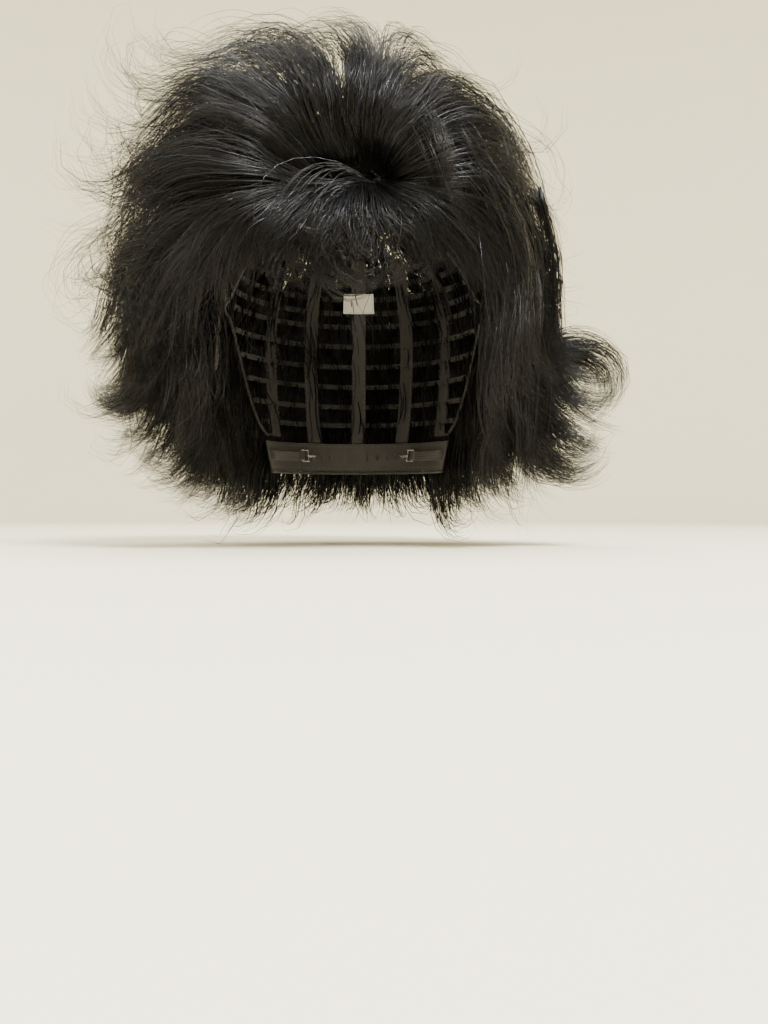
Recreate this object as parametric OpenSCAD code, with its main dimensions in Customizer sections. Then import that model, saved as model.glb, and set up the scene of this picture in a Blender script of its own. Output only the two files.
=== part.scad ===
// Short curly costume wig: an open-weft cap with its fittings, and the hair that hangs from it.
// Units are millimetres. +Z is up, the face looks along -Y, and the wearer's left is +X.
// The origin is the centre of the head at its widest girth, where the cap is measured.
// Bearings run from the front (0) through the wearer's left (90) to the back (180).

/* [Head] */
// Half the width of the head inside the cap
head_half_w = 76; // [70:0.5:82]
// Half the depth of the head inside the cap
head_half_d = 97; // [90:0.5:104]
// Height of the head's crown above its widest girth
crown_h = 88; // [80:1:96]

/* [Cap] */
// Thickness of the net, lace bands and ribbons
lace_t = 0.8; // [0.6:0.05:0.9]
// Height of the front lace band
front_band_h = 20; // [16:1:21]
// Width of each vertical ribbon
ribbon_w = 9; // [6:0.5:12]
// Height of one sewn weft seam
weft_h = 3.2; // [2.4:0.1:4]
// Radius of the cord that binds the edge
binding_r = 0.9; // [0.6:0.05:0.9]

/* [Ear tabs] */
// Length of an ear tab below its seam
tab_len = 33; // [26:1:36]
// Width of an ear tab at its seam
tab_w = 19; // [15:1:20]
// Thickness of an ear tab
tab_t = 1.8; // [1.6:0.1:2]

/* [Adjusters] */
// Height of the elastic adjuster strap
strap_h = 6; // [5:0.5:6]
// Angle about the nape between two thread loops
loop_pitch = 6; // [6:0.5:7]
// Radius of the hook's wire
wire_r = 0.45; // [0.35:0.05:0.5]

/* [Hair] */
// Depth of the hair over the forehead
hair_front = 20; // [16:1:26]
// Depth of the hair on the wearer's left
hair_left = 34; // [28:1:36]
// Depth of the hair on the wearer's right
hair_right = 62; // [50:1:64]
// Depth of the hair at the back
hair_back = 42; // [34:1:48]
// Depth of the hair over the crown
hair_top = 78; // [62:1:84]
// How much deeper the hair stands above the right temple
hair_shoulder = 15; // [0:1:18]
// Depth of the waves in the hair's outer surface
wave = 2.5; // [0:0.5:3]

/* [Hidden] */

// The head's lower half tapers slowly at the cheeks and faster at the nape.
cheek_drop = 186;
nape_drop = 120;

// Distances off the head, from the inside out.
skin_gap = 0.6;
lace_out = skin_gap + lace_t;
weft_in = lace_out + 0.35;
weft_out = weft_in + 1.5;
hair_in = weft_out + 0.6;
tab_hair_in = 10;

// The lower edge of the cap: height against bearing, the same on both sides.
edge_z = [[0, 34], [30, 33], [45, 28], [54, 18], [61, 9], [82, 9], [95, 9], [104, 0], [114, -24], [122, -48], [130, -58]];
net_edge_z = 57;
patch_v = 76;

// The hair's zones: latitudes of their edges, and the parting left between two of them.
top_v = 52;
front_v = 25;
ear_v = 7;
hem_v = -28;
nape_v = -24;
nape_hem_z = -108;
parting = 0.3;

// Heights of the wefts, with the bearing at which each one starts behind the temple.
weft_rows = [
    [49, 64], [41, 64], [33, 64], [25, 64], [17, 66],
    [5, 106], [-8, 112], [-21, 118], [-34, 122], [-46, 126]
];
crown_weft_z = [63, 71, 78];

// The nape band is a cone round the neck, and everything on it turns about the cone's axis.
nape_centre = [0, 22, 0];
nape_top_z = -60;
nape_bottom_z = -78;
nape_top_r = 61;
nape_bottom_r = 57;
nape_half_angle = 66;
nape_slope = atan((nape_top_r - nape_bottom_r) / (nape_top_z - nape_bottom_z));
nape_mid_z = (nape_top_z + nape_bottom_z) / 2;
nape_mid_r = (nape_top_r + nape_bottom_r) / 2;

// Thread loops stand in a row on the band's inner face, on each side of its middle.
loop_count = 5;
first_loop = 6;
loop_r = 1.9;
thread_r = 0.35;

// The hook's tongue runs under the last loop and its arm runs over it, back to a bar in the strap's eye.
hooked_loop = first_loop + (loop_count - 1) * loop_pitch;
tongue_h = wire_r + 0.35;
arm_h = loop_r + thread_r + wire_r + 0.6;
bend_r = (arm_h - tongue_h) / 2;
ring_len = 4;
arm_len = 5;
tongue_len = 3.2;
catch = 0.9;
bar_x = ring_len + arm_len - catch;
bar_angle = hooked_loop + atan(bar_x / (nape_mid_r - arm_h));
bar_h = nape_mid_r - norm([bar_x, nape_mid_r - arm_h]);
bar_len = strap_h + 1.2;
eye_r = 1.25;
eye_gap = 0.2;
eye_h = strap_h - 0.4;
eye_tail = 3;
strap_t = 0.8;
strap_angle = bar_angle + (eye_tail + 0.3) / nape_mid_r * 180 / PI;
strap_foot = 62;

// The ear tab hangs from a rolled seam.
tab_u = 71.5;
seam_r = 0.9;
seam_z = 6.3;
stay_w = 3.4;
stay_t = 0.6;
stay_gap = 0.1;

// Colours
LACE = "#1d1a19";
BINDING = "#141211";
WEFT = "#0f0d0d";
FELT = "#26211f";
ELASTIC = "#232021";
STEEL = "#b9bcc0";
HAIR = "#17120f";
LABEL = "#d8d4cc";

// ---------- Shape of the head ----------

function unit(p) = p / norm(p);

function drop(u) = nape_drop + (cheek_drop - nape_drop) * pow(sin(u), 2);

// A point at bearing u and latitude v, off the head by a distance.
function skull(u, v, off) =
    let (
        c = v >= 0 ? crown_h : drop(u),
        p = [head_half_w * cos(v) * sin(u), -head_half_d * cos(v) * cos(u), c * sin(v)],
        n = unit([p.x / pow(head_half_w, 2), p.y / pow(head_half_d, 2), p.z / pow(c, 2)])
    )
    p + off * n;

function latitude(u, z) = asin(z / (z >= 0 ? crown_h : drop(u)));
function at_height(u, z, off) = skull(u, latitude(u, z), off);
function edge_at(u) = lookup(abs(u), edge_z);

function steps(a, b, step) =
    let (n = max(1, ceil(abs(b - a) / step)))
    [for (i = [0:n]) a + (b - a) * i / n];

// ---------- Solid builders ----------

function quads(q) = [for (f = q) each [[f[0], f[1], f[2]], [f[0], f[2], f[3]]]];

// A curved slab over a grid of s and t; pt(s, t, k) gives its inner face for k = 0 and outer for k = 1.
module slab(ss, ts, pt) {
    m = len(ss);
    n = len(ts);
    half = m * n;
    points = [for (k = [0, 1], s = ss, t = ts) pt(s, t, k)];
    I = function(i, j) i * n + j;
    O = function(i, j) half + i * n + j;
    faces = quads([
        for (i = [0:m - 2], j = [0:n - 2]) each [
            [O(i, j), O(i, j + 1), O(i + 1, j + 1), O(i + 1, j)],
            [I(i, j), I(i + 1, j), I(i + 1, j + 1), I(i, j + 1)]
        ],
        for (i = [0:m - 2]) each [
            [O(i, 0), O(i + 1, 0), I(i + 1, 0), I(i, 0)],
            [O(i + 1, n - 1), O(i, n - 1), I(i, n - 1), I(i + 1, n - 1)]
        ],
        for (j = [0:n - 2]) each [
            [O(0, j + 1), O(0, j), I(0, j), I(0, j + 1)],
            [O(m - 1, j), O(m - 1, j + 1), I(m - 1, j + 1), I(m - 1, j)]
        ]
    ]);
    polyhedron(points, faces, convexity = 6);
}

// A slab that closes on itself in s. With an apex pair it is a dome, and otherwise a ring.
module round_slab(ss, ts, pt, apex = []) {
    m = len(ss);
    n = len(ts);
    half = m * n;
    tip = 2 * half;
    points = concat([for (k = [0, 1], s = ss, t = ts) pt(s, t, k)], apex);
    I = function(i, j) (i % m) * n + j;
    O = function(i, j) half + (i % m) * n + j;
    walls = quads([
        for (i = [0:m - 1], j = [0:n - 2]) each [
            [O(i, j), O(i, j + 1), O(i + 1, j + 1), O(i + 1, j)],
            [I(i, j), I(i + 1, j), I(i + 1, j + 1), I(i, j + 1)]
        ],
        for (i = [0:m - 1]) [O(i, 0), O(i + 1, 0), I(i + 1, 0), I(i, 0)]
    ]);
    top = len(apex) == 2
        ? [for (i = [0:m - 1]) each [[O(i + 1, n - 1), O(i, n - 1), tip + 1], [I(i, n - 1), I(i + 1, n - 1), tip]]]
        : quads([for (i = [0:m - 1]) [O(i + 1, n - 1), O(i, n - 1), I(i, n - 1), I(i + 1, n - 1)]]);
    polyhedron(points, concat(walls, top), convexity = 6);
}

// A round cord along an open path that lies near the head.
module cord(path, r, sides = 8) {
    n = len(path);
    ring = function(i) let (
        a = path[max(i - 1, 0)],
        b = path[min(i + 1, n - 1)],
        t = unit(b - a),
        w = unit(cross(t, path[i])),
        q = cross(w, t)
    ) [for (k = [0:sides - 1]) path[i] + r * (cos(k * 360 / sides) * q + sin(k * 360 / sides) * w)];
    points = [for (i = [0:n - 1]) each ring(i)];
    side = [for (i = [0:n - 2], k = [0:sides - 1])
        let (k2 = (k + 1) % sides)
        each [[i * sides + k, (i + 1) * sides + k2, i * sides + k2], [i * sides + k, (i + 1) * sides + k, (i + 1) * sides + k2]]];
    first = [[for (k = [0:sides - 1]) k]];
    last = [[for (k = [sides - 1:-1:0]) (n - 1) * sides + k]];
    polyhedron(points, concat(side, first, last), convexity = 6);
}

module mirror_to_right() mirror([1, 0, 0]) children();

// ---------- Cap ----------

module crown_net() {
    color(LACE)
        round_slab(
            [for (u = [0:10:350]) u],
            steps(asin(net_edge_z / crown_h), patch_v - 1, 7),
            function(u, v, k) skull(u, v, k == 0 ? skin_gap : lace_out)
        );
}

module crown_patch() {
    color(FELT)
        round_slab(
            [for (u = [0:15:345]) u],
            [patch_v, 83],
            function(u, v, k) skull(u, v, k == 0 ? skin_gap : lace_out),
            [[0, 0, crown_h + skin_gap], [0, 0, crown_h + lace_out]]
        );
}

// A strip along the cap's edge, from one height above it to another.
module edge_strip(us, low, high, off_in, off_out) {
    slab(us, [low, (low + high) / 2, high], function(u, t, k) at_height(u, edge_at(u) + t, k == 0 ? off_in : off_out));
}

module front_lace_band() {
    color(LACE)
        edge_strip(steps(-58, 58, 5), binding_r + 0.6, front_band_h, skin_gap, lace_out);
}

module front_comfort_strip() {
    color(FELT)
        edge_strip(steps(-52, 52, 5), 2, 10, -0.2, skin_gap - 0.3);
}

module edge_binding() {
    color(BINDING)
        cord([for (u = steps(-129, 129, 4.5)) at_height(u, edge_at(u), skin_gap + lace_t / 2)], binding_r);
}

module size_label() {
    color(LABEL)
        slab(steps(172, 188, 4), [26, 32, 38], function(u, z, k) at_height(u, z, k == 0 ? 0 : 0.35));
}

// An upright ribbon at bearing u, from one height to another.
module ribbon(u, low, high) {
    color(LACE)
        slab(
            steps(low, high, 8),
            [1, 0, -1],
            function(z, side, k)
                let (
                    v = latitude(u, z),
                    reach = norm([head_half_w * cos(v) * cos(u), head_half_d * cos(v) * sin(u)]),
                    du = ribbon_w / 2 / reach * 180 / PI
                )
                at_height(u + side * du, z, k == 0 ? skin_gap : lace_out)
        );
}

ribbon_top_z = net_edge_z - 0.6;
module ribbon_centre_back() ribbon(180, nape_top_z + 1, ribbon_top_z);
module ribbon_back_left() ribbon(156, nape_top_z + 1, ribbon_top_z);
module ribbon_back_right() mirror_to_right() ribbon_back_left();
module ribbon_mid_left() ribbon(134, nape_top_z + 4, ribbon_top_z);
module ribbon_mid_right() mirror_to_right() ribbon_mid_left();
module ribbon_side_left() ribbon(92, 11, ribbon_top_z);
module ribbon_side_right() mirror_to_right() ribbon_side_left();

// A weft seam at one height, round the back from bearing `from` on the left to the same on the right.
module weft(z, from) {
    color(WEFT)
        slab(
            steps(from, 360 - from, 6),
            [z - weft_h / 2, z + weft_h / 2],
            function(u, h, k) at_height(u, h, k == 0 ? weft_in : weft_out)
        );
}

module weft_row(i) weft(weft_rows[i][0], weft_rows[i][1]);
module weft_01() weft_row(0);
module weft_02() weft_row(1);
module weft_03() weft_row(2);
module weft_04() weft_row(3);
module weft_05() weft_row(4);
module weft_06() weft_row(5);
module weft_07() weft_row(6);
module weft_08() weft_row(7);
module weft_09() weft_row(8);
module weft_10() weft_row(9);

module crown_weft(i) {
    color(WEFT)
        round_slab(
            [for (u = [0:10:350]) u],
            [crown_weft_z[i] - weft_h / 2, crown_weft_z[i] + weft_h / 2],
            function(u, z, k) at_height(u, z, k == 0 ? weft_in : weft_out)
        );
}

module crown_weft_1() crown_weft(0);
module crown_weft_2() crown_weft(1);
module crown_weft_3() crown_weft(2);

module short_weft(above, half) {
    color(WEFT)
        slab(
            steps(-half, half, 6),
            [above - weft_h / 2, above + weft_h / 2],
            function(u, t, k) at_height(u, edge_at(u) + t, k == 0 ? weft_in : weft_out)
        );
}

module front_weft() short_weft(15, 56);
module fringe_weft() short_weft(5, 50);

// ---------- Nape band and its adjusters ----------

// A strip of the nape cone. h is its distance in from the band's inner face.
module nape_strip(z_low, z_high, h_low, h_high, from, to) {
    r_at = function(z, h) nape_bottom_r + (z - nape_bottom_z) * tan(nape_slope) - h;
    translate(nape_centre)
        rotate([0, 0, 90 - to])
            rotate_extrude(angle = to - from, $fn = 96)
                polygon([
                    [r_at(z_low, h_high), z_low],
                    [r_at(z_low, h_low), z_low],
                    [r_at(z_high, h_low), z_high],
                    [r_at(z_high, h_high), z_high]
                ]);
}

// Puts a fitting on the nape band: +X runs on round the band away from the centre, +Y into the head, +Z up the band.
module on_nape(angle) {
    translate(nape_centre)
        rotate([0, 0, -angle])
            translate([0, nape_mid_r, nape_mid_z])
                rotate([-nape_slope, 0, 0])
                    mirror([0, 1, 0])
                        children();
}

module nape_band() {
    color(LACE)
        nape_strip(nape_bottom_z, nape_top_z, -lace_t, 0, -nape_half_angle, nape_half_angle);
}

module nape_elastic() {
    color(BINDING)
        translate(nape_centre)
            rotate([0, 0, 90 - nape_half_angle])
                rotate_extrude(angle = 2 * nape_half_angle, $fn = 96)
                    translate([nape_bottom_r - 0.1, nape_bottom_z - binding_r - 0.2])
                        circle(r = binding_r, $fn = 24);
}

module left_adjuster_elastic() {
    low = nape_mid_z - strap_h / 2;
    high = nape_mid_z + strap_h / 2;
    far = bar_h + strap_t / 2;
    color(ELASTIC) {
        nape_strip(low, high, bar_h - strap_t / 2, far, strap_angle, strap_foot);
        nape_strip(low, high, 0.2, far, strap_foot - 0.5, strap_foot + 2.5);
    }
}

module right_adjuster_elastic() mirror_to_right() left_adjuster_elastic();

module thread_loop() {
    rotate([0, -90, 0])
        rotate_extrude(angle = 180, $fn = 48)
            translate([loop_r, 0])
                circle(r = thread_r, $fn = 20);
}

module left_thread_loops() {
    color(WEFT)
        for (i = [0:loop_count - 1])
            on_nape(first_loop + i * loop_pitch)
                translate([0, 0.05, 0])
                    thread_loop();
}

module right_thread_loops() mirror_to_right() left_thread_loops();

module left_strap_eye() {
    color(ELASTIC)
        on_nape(bar_angle)
            translate([0, bar_h, 0])
                difference() {
                    union() {
                        cylinder(r = eye_r, h = eye_h, center = true, $fn = 32);
                        translate([0, -strap_t / 2, -eye_h / 2])
                            cube([eye_tail, strap_t, eye_h]);
                    }
                    cylinder(r = wire_r + eye_gap, h = strap_h + 2, center = true, $fn = 32);
                }
}

module right_strap_eye() mirror_to_right() left_strap_eye();

module wire(p, q) {
    d = q - p;
    translate(p)
        rotate([0, acos(d.z / norm(d)), atan2(d.y, d.x)])
            cylinder(r = wire_r, h = norm(d), $fn = 24);
}

module bead(p, size = 1.15) translate(p) sphere(r = wire_r * size, $fn = 24);

// The bar, a wire ring beside it, and a tongue that bends back under the loop.
module left_hook() {
    half = bar_len / 2;
    corners = [[0, 0, -half], [0, 0, half], [-ring_len, 0, half], [-ring_len, 0, -half]];
    elbow = -ring_len - arm_len;
    tongue_y = -2 * bend_r;
    color(STEEL)
        on_nape(hooked_loop)
            translate([bar_x, arm_h, 0]) {
                for (i = [0:3]) {
                    wire(corners[i], corners[(i + 1) % 4]);
                    bead(corners[i]);
                }
                bead([-ring_len, 0, 0], 1.35);
                wire([-ring_len, 0, 0], [elbow, 0, 0]);
                translate([elbow, -bend_r, 0])
                    rotate([0, 0, 90])
                        rotate_extrude(angle = 180, $fn = 48)
                            translate([bend_r, 0])
                                circle(r = wire_r, $fn = 24);
                wire([elbow, tongue_y, 0], [elbow + tongue_len, tongue_y, 0]);
                bead([elbow + tongue_len, tongue_y, 0]);
            }
}

module right_hook() mirror_to_right() left_hook();

// ---------- Ear tabs ----------

// Puts a tab's outline on the head: +X along the seam towards the back, +Y up and +Z out.
module on_temple() {
    v = latitude(tab_u, seam_z);
    p = skull(tab_u, v, skin_gap + seam_r);
    out = unit(skull(tab_u, v, 2) - skull(tab_u, v, 0));
    along = unit([cos(tab_u), head_half_d / head_half_w * sin(tab_u), 0]);
    up = cross(out, along);
    multmatrix([
        [along.x, up.x, out.x, p.x],
        [along.y, up.y, out.y, p.y],
        [along.z, up.z, out.z, p.z],
        [0, 0, 0, 1]
    ])
        children();
}

module tab_outline() {
    foot_r = tab_w * 0.3;
    polygon(concat(
        [[-tab_w / 2, -seam_r - 0.2], [tab_w / 2, -seam_r - 0.2]],
        [for (a = [0:-15:-180]) [foot_r * cos(a), -tab_len + foot_r + foot_r * sin(a)]]
    ));
}

module left_ear_tab() {
    color(FELT)
        on_temple()
            difference() {
                union() {
                    rotate([0, 90, 0])
                        cylinder(r = seam_r, h = tab_w, center = true, $fn = 32);
                    translate([-tab_w / 2 + 1, -seam_r - 0.6, -tab_t / 2 + 0.3])
                        cube([tab_w - 2, seam_r + 0.6, tab_t - 0.6]);
                    translate([0, 0, -tab_t / 2])
                        linear_extrude(tab_t)
                            tab_outline();
                }
                translate([-stay_w / 2 - stay_gap, -tab_len + 4, -stay_t / 2 - stay_gap])
                    cube([stay_w + 2 * stay_gap, tab_len - 7, stay_t + 2 * stay_gap]);
            }
}

module right_ear_tab() mirror_to_right() left_ear_tab();

// A flat bendable strip that keeps the tab's curve. It lies in a pocket in the tab.
module left_tab_stay() {
    color(STEEL)
        on_temple()
            translate([-stay_w / 2, -tab_len + 4 + stay_gap, -stay_t / 2])
                cube([stay_w, tab_len - 7 - 2 * stay_gap, stay_t]);
}

module right_tab_stay() mirror_to_right() left_tab_stay();

// ---------- Hair ----------

function blend(a, b, t) = a + (b - a) * t;

// Depth of the hair at a bearing and latitude.
function depth(u, v) =
    let (
        round_head = hair_front * pow(max(0, cos(u)), 2) + hair_back * pow(max(0, -cos(u)), 2)
            + hair_left * pow(max(0, sin(u)), 2) + hair_right * pow(max(0, -sin(u)), 2),
        rise = pow(max(0, sin(v)), 2.5),
        shoulder = hair_shoulder * max(0, sin(2 * v)) * pow(max(0, -sin(u)), 2),
        tuck = cos(2.2 * max(0, -10 - v))
    )
    (blend(round_head, hair_top, rise) + shoulder) * tuck + wave * sin(6 * u) * cos(5 * v) * cos(v);

// A mass of hair over a range of bearings and latitudes, with a parting left round it.
module hair(u_low, u_high, v_low, v_high, inner = hair_in) {
    color(HAIR)
        slab(
            steps(u_low + parting, u_high - parting, 8),
            steps(v_low + parting, v_high - parting, 7),
            function(u, v, k) skull(u, v, k == 0 ? inner : max(inner + 4, depth(u, v)))
        );
}

module crown_hair() {
    color(HAIR)
        round_slab(
            [for (u = [0:10:350]) u],
            steps(top_v + parting, 84, 6.5),
            function(u, v, k) skull(u, v, k == 0 ? hair_in : depth(u, v)),
            [[0, 0, crown_h + hair_in], [0, 0, crown_h + depth(0, 90)]]
        );
}

module front_hair() hair(-50, 50, front_v, top_v);
module left_temple_hair() hair(50, 100, ear_v, top_v);
module right_temple_hair() hair(-100, -50, ear_v, top_v);
module left_side_hair() hair(59, 112, hem_v, ear_v, tab_hair_in);
module right_side_hair() hair(-112, -59, hem_v, ear_v, tab_hair_in);
module back_left_hair() hair(100, 180, ear_v, top_v);
module back_right_hair() hair(180, 260, ear_v, top_v);
module lower_back_left_hair() hair(112, 180, nape_v, ear_v);
module lower_back_right_hair() hair(180, 248, nape_v, ear_v);

// Short curls over the forehead, below the front band.
module fringe_hair() {
    fringe_low_v = 5;
    fringe_top_v = front_v - 1;
    color(HAIR)
        slab(
            steps(-36, 36, 8),
            steps(fringe_low_v, fringe_top_v, 4),
            function(u, v, k)
                let (t = (v - fringe_low_v) / (fringe_top_v - fringe_low_v))
                skull(u, v, hair_in + (k == 0 ? 0 : 4 + 12 * sin(90 * t)))
        );
}

// The hair at the nape leaves the skull and hangs round the neck.
module nape_hair() {
    hem_depth = 18;
    color(HAIR)
        slab(
            steps(114, 246, 8),
            steps(0, 1, 0.16),
            function(u, s, k)
                let (
                    top_z = drop(u) * sin(nape_v - parting),
                    z = blend(top_z, nape_hem_z, s),
                    off = k == 0 ? hair_in : blend(depth(u, nape_v), hem_depth, s),
                    on_neck = nape_centre + [(nape_top_r + off) * sin(u), -(nape_top_r + off) * cos(u), z]
                )
                blend(at_height(u, z, off), on_neck, min(1, 2 * s))
        );
}

// A curl that turns out beside the neck, as part of a ring seen from the front.
module flick(centre, turn_r, curl_r, from, sweep) {
    color(HAIR)
        translate(centre)
            rotate([90, 0, 0])
                rotate([0, 0, from])
                    rotate_extrude(angle = sweep, $fn = 48)
                        translate([turn_r, 0])
                            circle(r = curl_r, $fn = 32);
}

module left_flick_hair() flick([head_half_w + hair_left + 2.5, 14, -45], 28, 14, -90, 180);
module right_flick_hair() flick([-head_half_w - hair_right - 1.5, 10, -35], 11, 7.5, 90, 180);

crown_net();
crown_patch();
front_lace_band();
front_comfort_strip();
nape_band();
nape_elastic();
edge_binding();
size_label();
ribbon_centre_back();
ribbon_back_left();
ribbon_back_right();
ribbon_mid_left();
ribbon_mid_right();
ribbon_side_left();
ribbon_side_right();
weft_01();
weft_02();
weft_03();
weft_04();
weft_05();
weft_06();
weft_07();
weft_08();
weft_09();
weft_10();
crown_weft_1();
crown_weft_2();
crown_weft_3();
front_weft();
fringe_weft();
left_ear_tab();
right_ear_tab();
left_tab_stay();
right_tab_stay();
left_adjuster_elastic();
right_adjuster_elastic();
left_thread_loops();
right_thread_loops();
left_strap_eye();
right_strap_eye();
left_hook();
right_hook();
crown_hair();
front_hair();
fringe_hair();
left_temple_hair();
right_temple_hair();
left_side_hair();
right_side_hair();
back_left_hair();
back_right_hair();
lower_back_left_hair();
lower_back_right_hair();
nape_hair();
left_flick_hair();
right_flick_hair();
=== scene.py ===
import math

import bpy
import numpy as np
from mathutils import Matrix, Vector


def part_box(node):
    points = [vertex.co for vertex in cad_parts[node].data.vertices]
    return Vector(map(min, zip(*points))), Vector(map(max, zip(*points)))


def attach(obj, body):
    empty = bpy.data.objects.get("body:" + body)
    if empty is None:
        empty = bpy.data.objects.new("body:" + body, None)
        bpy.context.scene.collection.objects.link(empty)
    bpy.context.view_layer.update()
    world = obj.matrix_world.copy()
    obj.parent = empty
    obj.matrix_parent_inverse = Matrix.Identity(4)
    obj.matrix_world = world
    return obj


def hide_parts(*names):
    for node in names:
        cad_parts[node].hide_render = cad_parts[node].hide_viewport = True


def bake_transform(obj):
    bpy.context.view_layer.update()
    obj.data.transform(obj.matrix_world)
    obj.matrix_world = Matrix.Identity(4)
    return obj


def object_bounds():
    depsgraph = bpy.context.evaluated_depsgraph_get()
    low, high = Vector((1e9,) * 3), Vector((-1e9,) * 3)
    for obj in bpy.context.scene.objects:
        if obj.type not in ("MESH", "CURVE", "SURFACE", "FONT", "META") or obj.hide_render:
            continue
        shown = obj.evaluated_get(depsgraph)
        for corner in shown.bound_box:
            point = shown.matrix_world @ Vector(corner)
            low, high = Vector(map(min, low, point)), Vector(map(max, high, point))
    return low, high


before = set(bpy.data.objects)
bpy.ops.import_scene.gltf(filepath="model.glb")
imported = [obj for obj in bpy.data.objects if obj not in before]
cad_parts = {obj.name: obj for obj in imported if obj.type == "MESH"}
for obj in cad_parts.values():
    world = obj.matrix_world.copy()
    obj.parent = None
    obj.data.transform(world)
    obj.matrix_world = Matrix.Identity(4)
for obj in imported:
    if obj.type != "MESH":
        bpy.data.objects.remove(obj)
CAD_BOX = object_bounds()

MM = 0.001
SEED = 20


# ---------- The head and the cap, from the frame ----------

# How far off the head the lace's and the wefts' outer faces are.
LACE_OUT = 1.4 * MM
WEFT_OUT = 3.25 * MM
# The head is an ellipsoid with half axes HEAD above its widest girth, and with a longer drop below it.
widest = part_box("weft_06")[1]
HEAD_W = widest.x - WEFT_OUT
HEAD_D = widest.y - WEFT_OUT
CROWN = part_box("crown_patch")[1].z - LACE_OUT
HEAD = np.array([HEAD_W, HEAD_D, CROWN])
CHEEK_DROP = 186 * MM
NAPE_DROP = 120 * MM
# The neck is an upright cylinder, which takes over from the head behind and below NECK_TOP.
NECK = np.array([0.0, 22 * MM])
NECK_R = 62 * MM
NECK_TOP = -50 * MM
# Where the camera stands: level with the nape, in front of the face.
EYE = np.array([16.6, -630.0, -104.0]) * MM


def unit(v):
    return v / np.maximum(np.linalg.norm(v, axis=-1, keepdims=True), 1e-12)


def smooth(t):
    t = np.clip(t, 0.0, 1.0)
    return t * t * (3 - 2 * t)


def axes_at(p):
    """The head's half axes for points p: it drops further below its widest girth, most at the cheeks."""
    bearing = np.arctan2(p[..., 0] / HEAD_W, -p[..., 1] / HEAD_D)
    drop = NAPE_DROP + (CHEEK_DROP - NAPE_DROP) * np.sin(bearing) ** 2
    axes = np.empty(p.shape)
    axes[...] = HEAD
    axes[..., 2] = np.where(p[..., 2] >= 0, CROWN, drop)
    return axes


def head_at(p):
    """Distance of points p off the head, and the direction straight off it."""
    axes = axes_at(p)
    scaled = p / axes
    size = np.linalg.norm(scaled, axis=-1)
    slope = scaled / axes
    steep = np.linalg.norm(slope, axis=-1)
    off = (size - 1) * size / np.maximum(steep, 1e-9)
    out = unit(slope)
    flat = p[..., :2] - NECK
    neck_off = np.linalg.norm(flat, axis=-1) - NECK_R
    on_neck = (p[..., 2] < NECK_TOP) & (p[..., 1] > NECK[1]) & (neck_off < off)
    neck_out = np.zeros(p.shape)
    neck_out[..., :2] = unit(flat)
    return np.where(on_neck, neck_off, off), np.where(on_neck[..., None], neck_out, out)


def skull(bearing, z, off):
    """Points off the head, by bearing (degrees from the face to the wearer's left) and height."""
    b = np.radians(bearing)
    drop = NAPE_DROP + (CHEEK_DROP - NAPE_DROP) * np.sin(b) ** 2
    c = np.where(z >= 0, CROWN, drop)
    v = np.arcsin(np.clip(z / c, -1, 1))
    p = np.stack([HEAD_W * np.cos(v) * np.sin(b), -HEAD_D * np.cos(v) * np.cos(b), z + 0 * b], -1)
    n = unit(p / np.stack([HEAD_W**2 + 0 * b, HEAD_D**2 + 0 * b, c**2 + 0 * b], -1))
    return p + np.asarray(off)[..., None] * n


def hair_depth(p):
    """How deep the mass of hair is where points p are."""
    axes = axes_at(p)
    d = unit(p / axes)
    flat = np.maximum(np.linalg.norm(d[..., :2], axis=-1), 1e-9)
    side, ahead = d[..., 0] / flat, -d[..., 1] / flat
    level = (
        HAIR_FRONT * np.maximum(ahead, 0) ** 2
        + HAIR_BACK * np.maximum(-ahead, 0) ** 2
        + HAIR_LEFT * np.maximum(side, 0) ** 2
        + HAIR_RIGHT * np.maximum(-side, 0) ** 2
    )
    up = np.maximum(d[..., 2], 0)
    shoulder = HAIR_SHOULDER * 2 * up * flat * np.maximum(-side, 0) ** 2
    return level + (HAIR_TOP - level) * up**2.5 + shoulder


HAIR_FRONT = -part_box("fringe_hair")[0].y - HEAD_D + 4 * MM
HAIR_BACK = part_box("lower_back_left_hair")[1].y - HEAD_D
HAIR_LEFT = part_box("left_side_hair")[1].x - HEAD_W
HAIR_RIGHT = -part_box("right_side_hair")[0].x - HEAD_W
HAIR_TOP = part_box("crown_hair")[1].z - CROWN
HAIR_SHOULDER = 15 * MM


# ---------- Materials ----------


def principled(name, colour, roughness, **values):
    mat = bpy.data.materials.new(name)
    mat.use_nodes = True
    shader = mat.node_tree.nodes["Principled BSDF"]
    shader.inputs["Base Color"].default_value = (*colour, 1)
    shader.inputs["Roughness"].default_value = roughness
    for key, value in values.items():
        shader.inputs[key.replace("_", " ")].default_value = value
    return mat


def two_tone(mat, a, b, scale, detail):
    """Runs a material's colour between two tones by noise. Returns the place and noise nodes."""
    tree = mat.node_tree
    place = tree.nodes.new("ShaderNodeTexCoord")
    noise = tree.nodes.new("ShaderNodeTexNoise")
    noise.inputs["Scale"].default_value = scale
    noise.inputs["Detail"].default_value = detail
    mix = tree.nodes.new("ShaderNodeMix")
    mix.data_type = "RGBA"
    mix.inputs["A"].default_value = (*a, 1)
    mix.inputs["B"].default_value = (*b, 1)
    tree.links.new(place.outputs["Object"], noise.inputs["Vector"])
    tree.links.new(noise.outputs["Fac"], mix.inputs["Factor"])
    tree.links.new(mix.outputs["Result"], tree.nodes["Principled BSDF"].inputs["Base Color"])
    return place, noise


def hair_shade(name, dark, light, roughness, gloss):
    """One shade of fibre, which runs between two tones along the locks."""
    mat = principled(name, dark, roughness, Specular_IOR_Level=gloss)
    two_tone(mat, dark, light, 70, 5)
    return mat


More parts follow.
